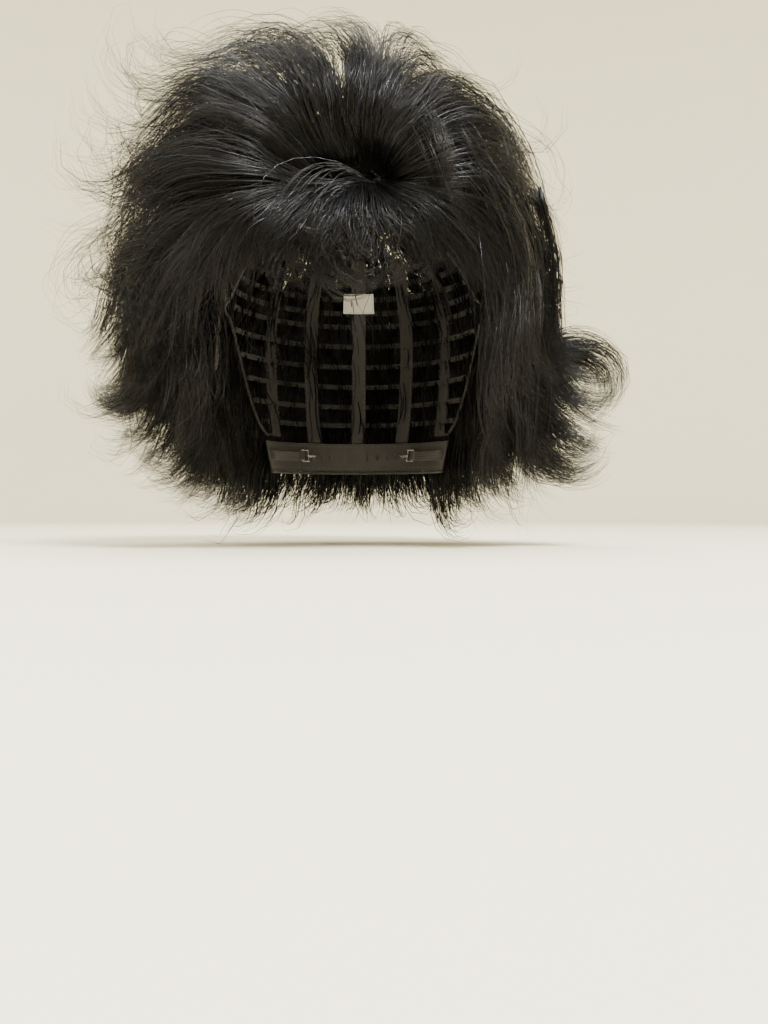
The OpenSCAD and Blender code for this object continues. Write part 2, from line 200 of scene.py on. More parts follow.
def hair_shades():
    """The shades in the fibre blend, from the commonest to the rarest."""
    return [
        hair_shade("hair_black", (0.0020, 0.0018, 0.0019), (0.0042, 0.0038, 0.0038), 0.30, 0.24),
        hair_shade("hair_soft_black", (0.0032, 0.0029, 0.0029), (0.0058, 0.0052, 0.0050), 0.38, 0.20),
        hair_shade("hair_brown_black", (0.0050, 0.0034, 0.0027), (0.0100, 0.0068, 0.0052), 0.34, 0.22),
        hair_shade("hair_blue_black", (0.0028, 0.0032, 0.0048), (0.0046, 0.0053, 0.0080), 0.26, 0.34),
    ]


SHADE_SHARES = [0.46, 0.27, 0.15, 0.12]


# ---------- Strands ----------


def lengths_along(path):
    """How far along each path its points are. path is (points, axes) or (count, points, axes)."""
    steps = np.linalg.norm(np.diff(path, axis=-2, prepend=path[..., :1, :]), axis=-1)
    return np.cumsum(steps, axis=-1)


def frames_along(path):
    """Two unit vectors across each path of (count, points, 3), turned as little as possible on the way."""
    ahead = unit(np.gradient(path, axis=1))
    start = np.cross(ahead[:, 0], np.array([0.31, 0.17, 0.93]))
    across = np.empty(path.shape)
    across[:, 0] = unit(start)
    for i in range(1, path.shape[1]):
        a = across[:, i - 1]
        t = ahead[:, i]
        across[:, i] = unit(a - np.sum(a * t, -1, keepdims=True) * t)
    return across, np.cross(ahead, across)


def tubes(name, paths, radii, shade, materials, sides=3):
    """One mesh of thin closed strands. paths is (count, points, 3), and radii is (count, points)."""
    count, points = paths.shape[:2]
    across, over = frames_along(paths)
    turns = np.arange(sides) * 2 * math.pi / sides
    body = points - 1
    ring = np.cos(turns)[:, None] * across[:, :body, None, :]
    ring = ring + np.sin(turns)[:, None] * over[:, :body, None, :]
    ring = ring * radii[:, :body, None, None] + paths[:, :body, None, :]
    co = np.concatenate([paths[:, :1, :], ring.reshape(count, body * sides, 3), paths[:, -1:, :]], axis=1)
    per = body * sides + 2
    quads = []
    for i in range(body - 1):
        for k in range(sides):
            a, b = 1 + i * sides + k, 1 + i * sides + (k + 1) % sides
            quads.append((a, b, b + sides, a + sides))
    last = 1 + (body - 1) * sides
    tris = [(0, 1 + (k + 1) % sides, 1 + k) for k in range(sides)]
    tris += [(last + k, last + (k + 1) % sides, per - 1) for k in range(sides)]
    base = (np.arange(count) * per)[:, None, None]
    quads = (np.array(quads)[None] + base).reshape(-1)
    tris = (np.array(tris)[None] + base).reshape(-1)
    sizes = np.concatenate([np.full(len(quads) // 4, 4), np.full(len(tris) // 3, 3)])
    starts = np.concatenate([[0], np.cumsum(sizes)[:-1]])
    n_quads, n_tris = (body - 1) * sides, 2 * sides
    face_shade = np.concatenate([np.repeat(shade, n_quads), np.repeat(shade, n_tris)])
    mesh = bpy.data.meshes.new(name)
    mesh.vertices.add(count * per)
    mesh.vertices.foreach_set("co", co.astype(np.float32).ravel())
    mesh.loops.add(len(quads) + len(tris))
    mesh.loops.foreach_set("vertex_index", np.concatenate([quads, tris]).astype(np.int32))
    mesh.polygons.add(len(sizes))
    mesh.polygons.foreach_set("loop_start", starts.astype(np.int32))
    mesh.polygons.foreach_set("material_index", face_shade.astype(np.int32))
    mesh.polygons.foreach_set("use_smooth", np.ones(len(sizes), bool))
    for mat in materials:
        mesh.materials.append(mat)
    mesh.update(calc_edges=True)
    mesh.validate()
    obj = bpy.data.objects.new(name, mesh)
    bpy.context.scene.collection.objects.link(obj)
    return obj


def rotate(v, axis, angle):
    """Vectors v turned about unit axes by angles, in radians."""
    c, s = np.cos(angle)[:, None], np.sin(angle)[:, None]
    return v * c + np.cross(axis, v) * s + axis * np.sum(axis * v, -1, keepdims=True) * (1 - c)


GUIDE_POINTS = 40
TAB_REACH = 13.5 * MM


def over_tab(p):
    """1 where points p are over an ear tab, falling to 0 round it."""
    ahead = np.abs(np.degrees(np.arctan2(np.abs(p[..., 0]) / HEAD_W, -p[..., 1] / HEAD_D)) - 72)
    return (1 - smooth((ahead - 14) / 8)) * (1 - smooth((np.abs(p[..., 2] + 12 * MM) - 24 * MM) / (8 * MM)))


def clear_of_cap(p):
    """How far off the head a lock must stay at points p: further over the ear tabs, which swing."""
    return (5 + 6 * over_tab(p)) * MM


def off_the_tabs(paths):
    """Strands moved out where an ear tab would swing into them."""
    off, out = head_at(paths)
    return paths + out * np.maximum(0, over_tab(paths) * TAB_REACH - off)[..., None]


def grow(root, style):
    """Grows a guide from each root, by style values as in STYLES. Returns (count, GUIDE_POINTS, 3)."""
    count = len(root)
    p = root.copy()
    off, out = head_at(p)
    ahead = unit(style["start"] + 0.25 * out)
    path = np.empty((count, GUIDE_POINTS, 3))
    path[:, 0] = p
    step = style["length"] / (GUIDE_POINTS - 1)
    root_off = off.copy()
    held = np.zeros((count, 3))
    for i in range(1, GUIDE_POINTS):
        s = i / (GUIDE_POINTS - 1)
        off, out = head_at(p)
        turn = smooth(s / style["turn"])[:, None]
        heading = unit(style["start"] * (1 - turn) + style["end"] * turn)
        along = unit(heading - np.sum(heading * out, -1, keepdims=True) * out)
        depth = style["fill"] * hair_depth(p)
        goal = root_off + (depth - root_off) * smooth(s / style["rise"])
        tilt = np.clip((goal - off) / (22 * MM), -0.7, style["steep"])[:, None]
        turns = s * style["length"] / style["wavelength"]
        wave = style["wave"] * np.sin(2 * math.pi * turns + style["phase"])
        swing = wave[:, None] * (0.8 * np.cross(out, along) + 0.5 * out)
        wanted = unit(along * np.sqrt(1 - tilt**2) + out * tilt + swing)
        gain = np.clip(step / (11 * MM), 0, 1)[:, None]
        steered = unit(ahead + gain * (wanted - ahead))
        lean = style["curl_lean"][:, None]
        axis = unit(np.cross(ahead, out) * np.cos(lean) + out * np.sin(lean))
        curling = s > style["curl_from"]
        fresh = curling & (np.linalg.norm(held, axis=-1) < 0.5)
        held = np.where(fresh[:, None], axis, held)
        tighter = 0.6 + 0.8 * smooth((s - style["curl_from"]) / 0.3)
        curled = rotate(ahead, unit(held + 1e-9), style["curl"] * step * tighter)
        ahead = np.where(curling[:, None], unit(curled), steered)
        p = p + ahead * step[:, None]
        off, out = head_at(p)
        p = p + out * np.maximum(0, clear_of_cap(p) * smooth(s / 0.15) - off)[:, None]
        path[:, i] = p
    return path


# Styles at places on the cap, from which every root takes a blend of the nearest.
# bearing and height of the root; start and end headings; length, fill (share of the hair's depth), rise,
# curl (turn per mm, positive outwards), where it starts, its lean out of plane, wave and its length.
STYLES = [
    # over the forehead
    (-30, 39, (-0.65, -0.7, 0.3), (-0.9, 0.1, -0.5), 95, 0.8, 0.35, 0.035, 0.62, 0.6, 0.2, 60),
    (0, 39, (-0.1, -0.9, 0.3), (0.0, -0.2, -1.0), 58, 0.85, 0.40, -0.07, 0.42, 1.1, 0.15, 50),
    (30, 39, (0.65, -0.7, 0.3), (0.9, 0.1, -0.5), 95, 0.8, 0.35, 0.03, 0.65, 0.6, 0.15, 60),
    (-30, 52, (-0.5, -0.7, 0.5), (-0.85, 0.1, -0.55), 140, 0.95, 0.30, 0.035, 0.65, 0.6, 0.30, 70),
    (0, 52, (-0.3, -0.8, 0.55), (-0.8, 0.0, -0.6), 135, 0.95, 0.30, 0.03, 0.65, 0.6, 0.30, 70),
    (30, 52, (0.5, -0.65, 0.55), (0.8, 0.1, -0.65), 140, 0.9, 0.30, 0.02, 0.7, 0.5, 0.20, 80),
    # crown, front half
    (-40, 72, (-0.5, -0.3, 0.85), (-0.75, 0.0, -0.65), 180, 0.90, 0.28, 0.04, 0.66, 0.3, 0.40, 70),
    (0, 72, (-0.45, -0.35, 0.85), (-0.85, -0.1, -0.45), 185, 0.98, 0.28, 0.045, 0.60, -0.3, 0.35, 80),
    (25, 74, (0.1, -0.2, 0.95), (0.2, 0.7, 0.0), 180, 0.95, 0.24, 0.03, 0.70, 0.3, 0.30, 80),
    (45, 68, (0.35, -0.4, 0.85), (0.7, 0.05, -0.75), 175, 1.0, 0.28, 0.02, 0.75, 0.2, 0.20, 90),
    (0, 80, (-0.15, -0.15, 0.95), (-0.5, 0.6, -0.2), 185, 0.95, 0.24, 0.04, 0.66, 0.3, 0.30, 80),
    (180, 85, (-0.1, 0.1, 1.0), (0.0, 0.9, -0.4), 190, 0.98, 0.24, 0.03, 0.70, 0.3, 0.30, 80),
    (-120, 74, (-0.3, 0.2, 0.95), (-0.5, 0.6, -0.6), 180, 0.90, 0.24, 0.035, 0.68, 0.3, 0.30, 80),
    (120, 74, (0.3, 0.2, 0.95), (0.45, 0.6, -0.7), 180, 0.95, 0.24, 0.03, 0.72, 0.3, 0.25, 80),
    # sides
    (-65, 33, (-0.6, -0.4, 0.2), (-0.25, -0.2, -0.95), 120, 0.72, 0.35, 0.05, 0.66, 0.2, 0.50, 45),
    (-95, 49, (-0.8, 0.1, 0.4), (-0.25, 0.1, -0.95), 150, 0.86, 0.30, 0.06, 0.68, 0.2, 0.55, 50),
    (-90, 15, (-0.7, 0.0, -0.2), (-0.15, 0.1, -1.0), 112, 0.68, 0.35, 0.06, 0.68, 0.2, 0.55, 45),
    (65, 33, (0.6, -0.4, 0.2), (0.2, -0.25, -0.95), 120, 0.85, 0.35, 0.03, 0.70, 0.2, 0.20, 70),
    (95, 49, (0.8, 0.1, 0.4), (0.2, 0.05, -0.98), 155, 1.0, 0.30, 0.05, 0.76, 0.2, 0.20, 80),
    (90, 15, (0.7, 0.0, -0.2), (0.15, 0.05, -1.0), 115, 0.8, 0.35, 0.05, 0.72, 0.2, 0.25, 60),
    # back
    (-130, 60, (-0.4, 0.6, 0.5), (-0.15, 0.15, -1.0), 155, 0.88, 0.30, 0.04, 0.72, 0.2, 0.35, 70),
    (180, 65, (0.0, 0.7, 0.5), (0.0, 0.15, -1.0), 165, 1.0, 0.30, 0.04, 0.74, 0.2, 0.35, 70),
    (130, 60, (0.4, 0.6, 0.5), (0.15, 0.15, -1.0), 155, 1.0, 0.30, 0.04, 0.74, 0.2, 0.30, 70),
    (-150, 20, (-0.3, 0.8, 0.0), (-0.1, 0.1, -1.0), 118, 0.8, 0.35, 0.06, 0.64, 0.2, 0.5, 45),
    (150, 20, (0.3, 0.8, 0.0), (0.1, 0.1, -1.0), 118, 0.8, 0.35, 0.06, 0.64, 0.2, 0.5, 45),
    (-125, -20, (-0.6, 0.5, -0.3), (-0.35, 0.0, -1.0), 88, 0.8, 0.40, 0.07, 0.58, 0.3, 0.45, 40),
    (125, -20, (0.6, 0.5, -0.3), (0.35, 0.0, -1.0), 84, 0.8, 0.40, 0.07, 0.58, -0.3, 0.45, 40),
    (180, -45, (0.0, 0.8, -0.4), (0.0, 0.15, -1.0), 74, 0.7, 0.40, 0.08, 0.52, 0.2, 0.45, 35),
]


def style_at(bearing, z, rng, layer):
    """Blends STYLES for roots at bearings (degrees) and heights (metres), then varies each a little."""
    rows = np.array([[r[0], r[1], *r[2], *r[3], *r[4:]] for r in STYLES], float)
    b, rb = np.radians(bearing), np.radians(rows[:, 0])
    turn = np.abs(np.angle(np.exp(1j * (b[:, None] - rb[None, :]))))
    level = np.sqrt(np.clip(1 - (np.minimum(z, 84 * MM)[:, None] / CROWN) ** 2, 0.05, 1))
    gap2 = (turn * 85 * level) ** 2 + (z[:, None] / MM - rows[None, :, 1]) ** 2
    weight = 1 / (gap2 + 60) ** 2
    weight /= weight.sum(1, keepdims=True)
    v = weight @ rows[:, 2:]
    count = len(b)

    def vary(share):
        return 1 + share * rng.standard_normal(count)

    return {
        "start": unit(v[:, 0:3] + 0.10 * rng.standard_normal((count, 3))),
        "end": unit(v[:, 3:6] + 0.10 * rng.standard_normal((count, 3))),
        "length": v[:, 6] * MM * np.clip(vary(0.10), 0.75, 1.3),
        "fill": v[:, 7] * layer(rng, count),
        "rise": v[:, 8] * np.clip(vary(0.15), 0.5, 1.5),
        "steep": 0.75 + 0.21 * smooth((z - 55 * MM) / (20 * MM)),
        "turn": np.clip(0.7 * vary(0.12), 0.4, 1.0),
        "curl": v[:, 9] / MM * vary(0.3),
        "curl_from": np.clip(v[:, 10] + 0.06 * rng.standard_normal(count), 0.3, 0.95),
        "curl_lean": v[:, 11] + 0.35 * rng.standard_normal(count),
        "wave": np.abs(v[:, 12] * vary(0.4)),
        "wavelength": v[:, 13] * MM * np.clip(vary(0.2), 0.5, 1.6),
        "phase": rng.uniform(0, 2 * math.pi, count),
    }


def outer_layer(rng, count):
    return np.clip(1.0 - 0.16 * np.abs(rng.standard_normal(count)), 0.45, 1.0)


def under_layer(rng, count):
    return rng.uniform(0.12, 0.75, count)


def roots_on_cap(rng, gap):
    """Bearings and heights of the locks' roots, in rows along the wefts and over the crown patch."""
    bearings, heights = [], []
    for n in sorted(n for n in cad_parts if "weft" in n):
        co = np.array([v.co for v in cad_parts[n].data.vertices])
        angle = np.degrees(np.arctan2(co[:, 0] / HEAD_W, -co[:, 1] / HEAD_D))
        order = np.argsort(angle)
        angle, z = angle[order], co[order, 2]
        filled = np.unique(angle.round())
        steps = np.diff(np.concatenate([filled, [filled[0] + 360]]))
        widest = int(np.argmax(steps))
        start = filled[(widest + 1) % len(filled)]
        span = 360 - (steps[widest] if steps[widest] > 15 else 0)
        girth = 2 * math.pi * 86 * math.sqrt(max(0.05, 1 - (max(z.mean(), 0) / CROWN) ** 2))
        number = max(6, int(girth * span / 360 / gap))
        b = start + (np.arange(number) + rng.uniform(0.2, 0.8, number)) * span / number
        b = (b + 180) % 360 - 180
        near = np.abs((angle[None, :] - b[:, None] + 180) % 360 - 180).argmin(1)
        bearings.append(b)
        beside = [np.abs((angle - angle[k] + 180) % 360 - 180) < 4 for k in near]
        heights.append(np.array([z[close].mean() for close in beside]))
    top = max(8, int(260 / gap))
    bearings.append(rng.uniform(-180, 180, top))
    heights.append(CROWN * np.sin(np.radians(rng.uniform(77, 89, top))))
    return np.concatenate(bearings), np.concatenate(heights)


def reach_of(guides):
    """The share of each guide that stays clear of the face."""
    x, y, z = np.abs(guides[..., 0]) / MM, guides[..., 1] / MM, guides[..., 2] / MM
    face = (y < -48) & (x < 66) & (z < 8 + 14 * smooth((x - 20) / 40) - 0.25 * np.clip(x - 45, 0, 30))
    first = np.where(face.any(1), face.argmax(1), GUIDE_POINTS - 1)
    return np.maximum(first, 4) / (GUIDE_POINTS - 1)


DOWN = np.array([0.0, 0.0, -1.0])


def hair_mass(rng, gap, split, strands, layer, wide, fall):
    """Locks from every weft. Behind the ears a share of each heading is straight down.

    Returns strand paths and the bearing and height of each strand's root.
    """
    bearing, z = roots_on_cap(rng, gap)
    style = style_at(bearing, z, rng, layer)
    many = {k: np.repeat(v, split, axis=0) for k, v in style.items()}
    count = len(bearing) * split
    sub_bearing = np.repeat(bearing, split) + rng.normal(0, 1.8, count)
    sub_z = np.clip(np.repeat(z, split) + rng.normal(0, 0.8 * MM, count), None, 0.9998 * CROWN)
    many["start"] = unit(many["start"] + 0.06 * rng.standard_normal((count, 3)))
    many["end"] = unit(many["end"] + 0.06 * rng.standard_normal((count, 3)))
    straight = (fall * smooth((np.abs(sub_bearing) - 75) / 25))[:, None]
    for heading in ("start", "end"):
        many[heading] = unit(many[heading] * (1 - straight) + DOWN * straight)
    many["fill"] = many["fill"] * (1 + 0.08 * rng.standard_normal(count))
    many["curl"] = many["curl"] * (1 + 0.2 * rng.standard_normal(count))
    many["curl_lean"] = many["curl_lean"] + 0.15 * rng.standard_normal(count)
    many["length"] = many["length"] * (1 + 0.06 * rng.standard_normal(count))
    root = skull(sub_bearing, sub_z, np.full(count, WEFT_OUT))
    guides = grow(root, many)
    paths = spread(rng, guides, strands, wide, reach=reach_of(guides))
    return paths, np.repeat(sub_bearing, strands), np.repeat(sub_z, strands)


STRAND_POINTS = 12


def resample(path, where):
    """Points along each path at shares where, which is (count, points) from 0 to 1."""
    n = path.shape[1] - 1
    at = np.clip(where, 0, 1) * n
    low = np.minimum(at.astype(int), n - 1)
    part = (at - low)[..., None]
    rows = np.arange(len(path))[:, None]
    return path[rows, low] * (1 - part) + path[rows, low + 1] * part


def spread(rng, guides, strands, wide=5.5 * MM, tip=3.0 * MM, ends=0.72, reach=None, loose=0.05):
    """Sets strands round each guide, wider midway than at the tip, each with its own end. Some stray."""
    across, over = frames_along(guides)
    count = len(guides) * strands
    end = rng.uniform(ends, 1.0, count)
    if reach is not None:
        end = end * np.repeat(reach, strands)
    where = np.linspace(0, 1, STRAND_POINTS)[None, :] * end[:, None]
    path = resample(np.repeat(guides, strands, axis=0), where)
    a = resample(np.repeat(across, strands, axis=0), where)
    o = resample(np.repeat(over, strands, axis=0), where)
    r = np.sqrt(rng.uniform(0, 1, count))[:, None]
    angle = rng.uniform(0, 2 * math.pi, count)[:, None]
    twist = rng.normal(0, 0.5, count)[:, None]
    size = 1.8 * MM + (wide - 1.8 * MM) * smooth(where / 0.45) + (tip - wide) * smooth((where - 0.5) / 0.5)
    size = size * (1 + 0.3 * np.sin(where * rng.uniform(3, 8, count)[:, None] + angle))
    turn = angle + twist * where
    stray = (rng.uniform(0, 1, count) < loose)[:, None]
    size = size * (1 + stray * where * rng.uniform(0.5, 3.5, count)[:, None])
    return path + (r * size)[..., None] * (np.cos(turn)[..., None] * a + np.sin(turn)[..., None] * o)


def radii_for(rng, count, thick, points):
    share = np.linspace(0, 1, points)
    taper = 1 - 0.7 * smooth((share - 0.55) / 0.45)
    return thick / 2 * rng.uniform(0.75, 1.25, count)[:, None] * taper[None, :]


# ---------- Locks seen from the front ----------

def on_hair(seen_x, seen_z, share):
    """Where a sight line through a point in the plane y = 0 first meets a share of the hair's depth."""
    target = np.stack([seen_x, 0 * seen_x, seen_z], -1)
    ray = target - EYE
    y = np.linspace(-150, 40, 96) * MM
    t = (y - EYE[1]) / -EYE[1]
    p = EYE + ray[..., None, :] * t[:, None]
    off, _ = head_at(p)
    left = off / hair_depth(p) - share[..., None]
    hit = left <= 0
    first = np.where(hit.any(-1), hit.argmax(-1), left.argmin(-1))
    return np.take_along_axis(p, first[..., None, None].repeat(3, -1), -2)[..., 0, :]


def points_at(path, far, at):
    """Points at distances along one path whose own points are at distances far."""
    return np.stack([np.interp(at, far, path[:, k]) for k in range(path.shape[1])], -1)


def through(points):
    """A smooth run of values through control points (rows), evenly spaced along their length."""
    points = np.asarray(points, float)
    padded = np.vstack([2 * points[0] - points[1], points, 2 * points[-1] - points[-2]])
    t = np.linspace(0, 1, 12, endpoint=False)[:, None]
    runs = []
    for i in range(len(points) - 1):
        a, b, c, d = padded[i : i + 4]
        square, cube = 2 * a - 5 * b + 4 * c - d, 3 * b - a - 3 * c + d
        runs.append(0.5 * (2 * b + (c - a) * t + square * t**2 + cube * t**3))
    run = np.vstack(runs + [points[-1:]])
    far = lengths_along(run[:, :2])
    return points_at(run, far, np.linspace(0, far[-1], GUIDE_POINTS))


def fan(rng, curves, number, spare=0.06, end_from=0.8, wavy=1.5, beside=None):
    """Guides spread evenly between neighbouring curves of (seen x, seen z, share of the depth)."""
    runs = np.array([through(c) for c in curves])
    at = (np.arange(number) + rng.uniform(0, 1, number)) / number * (len(runs) - 1)
    low = np.minimum(at.astype(int), len(runs) - 2)
    part = smooth(at - low)[:, None, None]
    run = runs[low] * (1 - part) + runs[low + 1] * part
    reach = np.linspace(0, 1, GUIDE_POINTS)[None, :, None]
    slope = rng.standard_normal((number, 1, 3)) * [4.0, 4.0, 0.0]
    bow = rng.standard_normal((number, 1, 3)) * [3.0, 3.0, 0.0]
    phase = rng.uniform(0, 2 * math.pi, (number, 1, 1))
    waves = rng.uniform(2.2, 3.4, (number, 1, 1))
    ripple = np.sin(2 * math.pi * reach * waves + phase) * smooth(reach / 0.3)
    sway = rng.standard_normal((number, 1, 3)) * [wavy, wavy, 0.0]
    run = run + slope * reach + bow * np.sin(math.pi * reach) + sway * ripple
    run[..., 2] *= 1 - spare * np.abs(rng.standard_normal((number, 1)))
    end = rng.uniform(end_from, 1.0, number)
    run = resample(run, np.linspace(0, 1, GUIDE_POINTS)[None, :] * end[:, None])
    if beside is not None:
        return soften(beside_head(rng, run, *beside))
    p = on_hair(run[..., 0] * MM, run[..., 1] * MM, run[..., 2])
    return soften(p)


def beside_head(rng, run, front, back):
    """Curves drawn as an outline, set at random between two distances in front of and behind the ears."""
    y = rng.uniform(front, back, (len(run), 1)) + 6 * np.sin(3 * np.linspace(0, 1, GUIDE_POINTS))[None, :]
    round_off = np.sqrt(1 - np.clip(y / 140, -0.9, 0.9) ** 2)
    p = np.stack([run[..., 0] * round_off, y, run[..., 1]], -1) * MM
    off, out = head_at(p)
    return p + out * np.maximum(0, clear_of_cap(p) + 2 * MM - off)[..., None]


def soften(path, times=4):
    """Takes the kinks out of paths, keeping their ends."""
    for _ in range(times):
        path[:, 1:-1] = (path[:, :-2] + 2 * path[:, 1:-1] + path[:, 2:]) / 4
    return path


# The crown's sweep, from the wearer's right round over the top to the left.
CROWN_FAN = [
    [(-20, 78, 0.3), (-60, 84, 0.75), (-100, 76, 0.95), (-126, 58, 1.0), (-137, 36, 1.0), (-139, 18, 1.02)],
    [
        (-22, 82, 0.3), (-64, 96, 0.8), (-104, 98, 0.98),
        (-129, 80, 1.02), (-138, 56, 1.02), (-136, 38, 0.98),
    ],
    [
        (-22, 86, 0.3), (-60, 110, 0.85), (-94, 120, 1.0),
        (-118, 110, 1.0), (-129, 90, 1.0), (-124, 72, 0.95),
    ],
    [
        (-20, 90, 0.3), (-50, 122, 0.85), (-80, 138, 1.0),
        (-102, 134, 1.0), (-114, 116, 1.0), (-106, 102, 0.95),
    ],
    [(-16, 92, 0.3), (-36, 126, 0.85), (-58, 148, 1.0), (-80, 152, 1.0), (-94, 138, 1.0), (-88, 124, 0.95)],
    [(-10, 94, 0.3), (-22, 128, 0.85), (-34, 154, 1.0), (-54, 163, 1.0), (-74, 156, 1.0), (-78, 142, 0.95)],
    [(-4, 94, 0.3), (-12, 130, 0.85), (-18, 158, 1.0), (-34, 171, 1.04), (-54, 166, 1.0), (-58, 154, 0.95)],
    [(4, 94, 0.3), (0, 126, 0.85), (2, 152, 1.0), (-4, 168, 1.03), (-20, 170, 1.0), (-30, 158, 0.95)],
    [(5, 94, 0.3), (4, 126, 0.8), (6, 150, 0.9), (5, 164, 1.0), (-6, 168, 1.0), (-18, 163, 0.95)],
    [(6, 94, 0.3), (7, 124, 0.75), (10, 146, 0.85), (13, 160, 0.95), (6, 166, 1.0), (-8, 164, 0.95)],
    [(7, 94, 0.3), (8, 126, 0.85), (12, 150, 1.0), (16, 163, 1.02), (8, 168, 1.0), (-6, 166, 0.95)],
    [(9, 94, 0.3), (12, 124, 0.85), (20, 148, 1.0), (32, 157, 1.0), (42, 150, 0.98), (50, 140, 0.95)],
    [(11, 93, 0.3), (18, 118, 0.85), (30, 140, 1.0), (46, 148, 1.0), (60, 140, 0.98), (68, 126, 0.95)],
    [(14, 90, 0.3), (28, 114, 0.85), (46, 134, 1.0), (66, 134, 1.0), (84, 118, 1.0), (94, 98, 0.98)],
    [(18, 88, 0.3), (38, 106, 0.85), (62, 118, 1.0), (84, 112, 1.0), (100, 88, 1.0), (110, 58, 0.98)],
    [(22, 86, 0.3), (46, 97, 0.85), (70, 102, 1.0), (92, 90, 1.0), (106, 64, 1.0), (113, 30, 0.98)],
    [(24, 84, 0.3), (50, 88, 0.85), (76, 86, 1.0), (96, 66, 1.0), (108, 40, 1.0), (112, 8, 0.98)],
]

# The front fan, from the wearer's right temple over the forehead to the left temple.
FRONT_FAN = [
    [(-22, 80, 0.3), (-58, 72, 0.8), (-90, 56, 0.95), (-112, 32, 1.0), (-124, 6, 1.0), (-134, -16, 1.0)],
    [(-20, 81, 0.3), (-52, 70, 0.8), (-78, 52, 0.95), (-92, 28, 1.0), (-96, 2, 0.95), (-92, -22, 0.8)],
    [(-18, 82, 0.3), (-44, 68, 0.8), (-62, 50, 0.95), (-68, 30, 0.95), (-66, 14, 0.8), (-62, 2, 0.7)],
    [(-14, 83, 0.3), (-32, 70, 0.8), (-46, 58, 1.0), (-52, 48, 1.0), (-48, 40, 0.95), (-40, 40, 0.9)],
    [(-8, 83, 0.3), (-20, 72, 0.8), (-30, 60, 1.0), (-34, 50, 1.0), (-28, 43, 1.0), (-20, 44, 0.95)],
    [(-2, 84, 0.3), (-8, 72, 0.8), (-16, 60, 1.0), (-18, 48, 1.05), (-10, 41, 1.0), (-2, 43, 0.95)],
    [(4, 84, 0.3), (4, 72, 0.8), (2, 60, 1.0), (6, 48, 1.05), (14, 44, 1.0), (20, 48, 0.95)],
    [(12, 83, 0.3), (24, 72, 0.8), (36, 60, 1.0), (44, 48, 1.0), (44, 38, 0.95), (38, 34, 0.9)],
    [(16, 83, 0.3), (36, 72, 0.8), (54, 56, 0.95), (66, 38, 0.95), (72, 20, 0.85), (74, 4, 0.7)],
    [(20, 83, 0.3), (46, 76, 0.8), (68, 64, 0.95), (84, 42, 1.0), (90, 14, 0.95), (88, -12, 0.8)],
    [(24, 83, 0.3), (52, 80, 0.8), (78, 72, 0.95), (96, 50, 1.0), (106, 20, 1.0), (110, -8, 0.98)],
]

# The fringe's curls, each one lock that turns back up.
FRINGE_CURLS = [
    [(-14, 80, 0.6), (-34, 64, 0.9), (-47, 50, 0.92), (-46, 37, 0.88), (-35, 31, 0.88), (-27, 38, 0.92)],
    [(-10, 80, 0.6), (-28, 64, 0.9), (-38, 50, 0.92), (-36, 37, 0.88), (-25, 30, 0.86), (-15, 37, 0.88)],
    [(-4, 80, 0.6), (-15, 64, 0.9), (-25, 50, 0.92), (-24, 36, 0.86), (-11, 27, 0.84), (3, 32, 0.86)],
    [
        (0, 80, 0.6), (-8, 62, 0.9), (-16, 46, 0.92), (-13, 31, 0.86),
        (1, 23, 0.84), (15, 28, 0.84), (22, 40, 0.88),
    ],
    [(4, 80, 0.6), (0, 62, 0.9), (-5, 46, 0.92), (-1, 33, 0.86), (9, 28, 0.84), (18, 34, 0.86)],
    [(8, 80, 0.6), (17, 66, 0.9), (27, 52, 0.92), (27, 37, 0.86), (15, 28, 0.84), (1, 30, 0.86)],
    [(12, 80, 0.6), (27, 68, 0.9), (39, 54, 1.0), (42, 41, 0.92), (36, 32, 0.92), (27, 34, 1.0)],
]

# Down the wearer's right side, ending in hooks that turn out.
RIGHT_FAN = [
    [
        (-104, 60, 0.8), (-124, 40, 0.98), (-136, 18, 1.02),
        (-142, -4, 1.02), (-152, -10, 1.02), (-158, 0, 1.02),
    ],
    [
        (-100, 50, 0.8), (-118, 28, 0.98), (-128, 4, 1.0),
        (-136, -20, 1.0), (-148, -28, 1.0), (-156, -18, 1.0),
    ],
    [
        (-96, 36, 0.8), (-112, 10, 0.95), (-120, -18, 1.0),
        (-130, -42, 1.0), (-146, -46, 1.0), (-156, -32, 1.0),
    ],
    [
        (-90, 20, 0.7), (-104, -10, 0.9), (-110, -38, 0.98),
        (-122, -58, 1.0), (-138, -60, 1.0), (-148, -48, 1.0),
    ],
    [
        (-86, 4, 0.6), (-94, -28, 0.8), (-98, -56, 0.95),
        (-108, -76, 1.0), (-122, -80, 1.0), (-134, -70, 1.0),
    ],
    [
        (-82, -10, 0.5), (-86, -42, 0.7), (-86, -70, 0.9),
        (-94, -90, 1.0), (-106, -94, 1.0), (-116, -86, 1.0),
    ],
    [
        (-78, -24, 0.4), (-78, -54, 0.6), (-76, -82, 0.9),
        (-80, -100, 1.0), (-90, -104, 1.0), (-98, -98, 1.0),
    ],
]

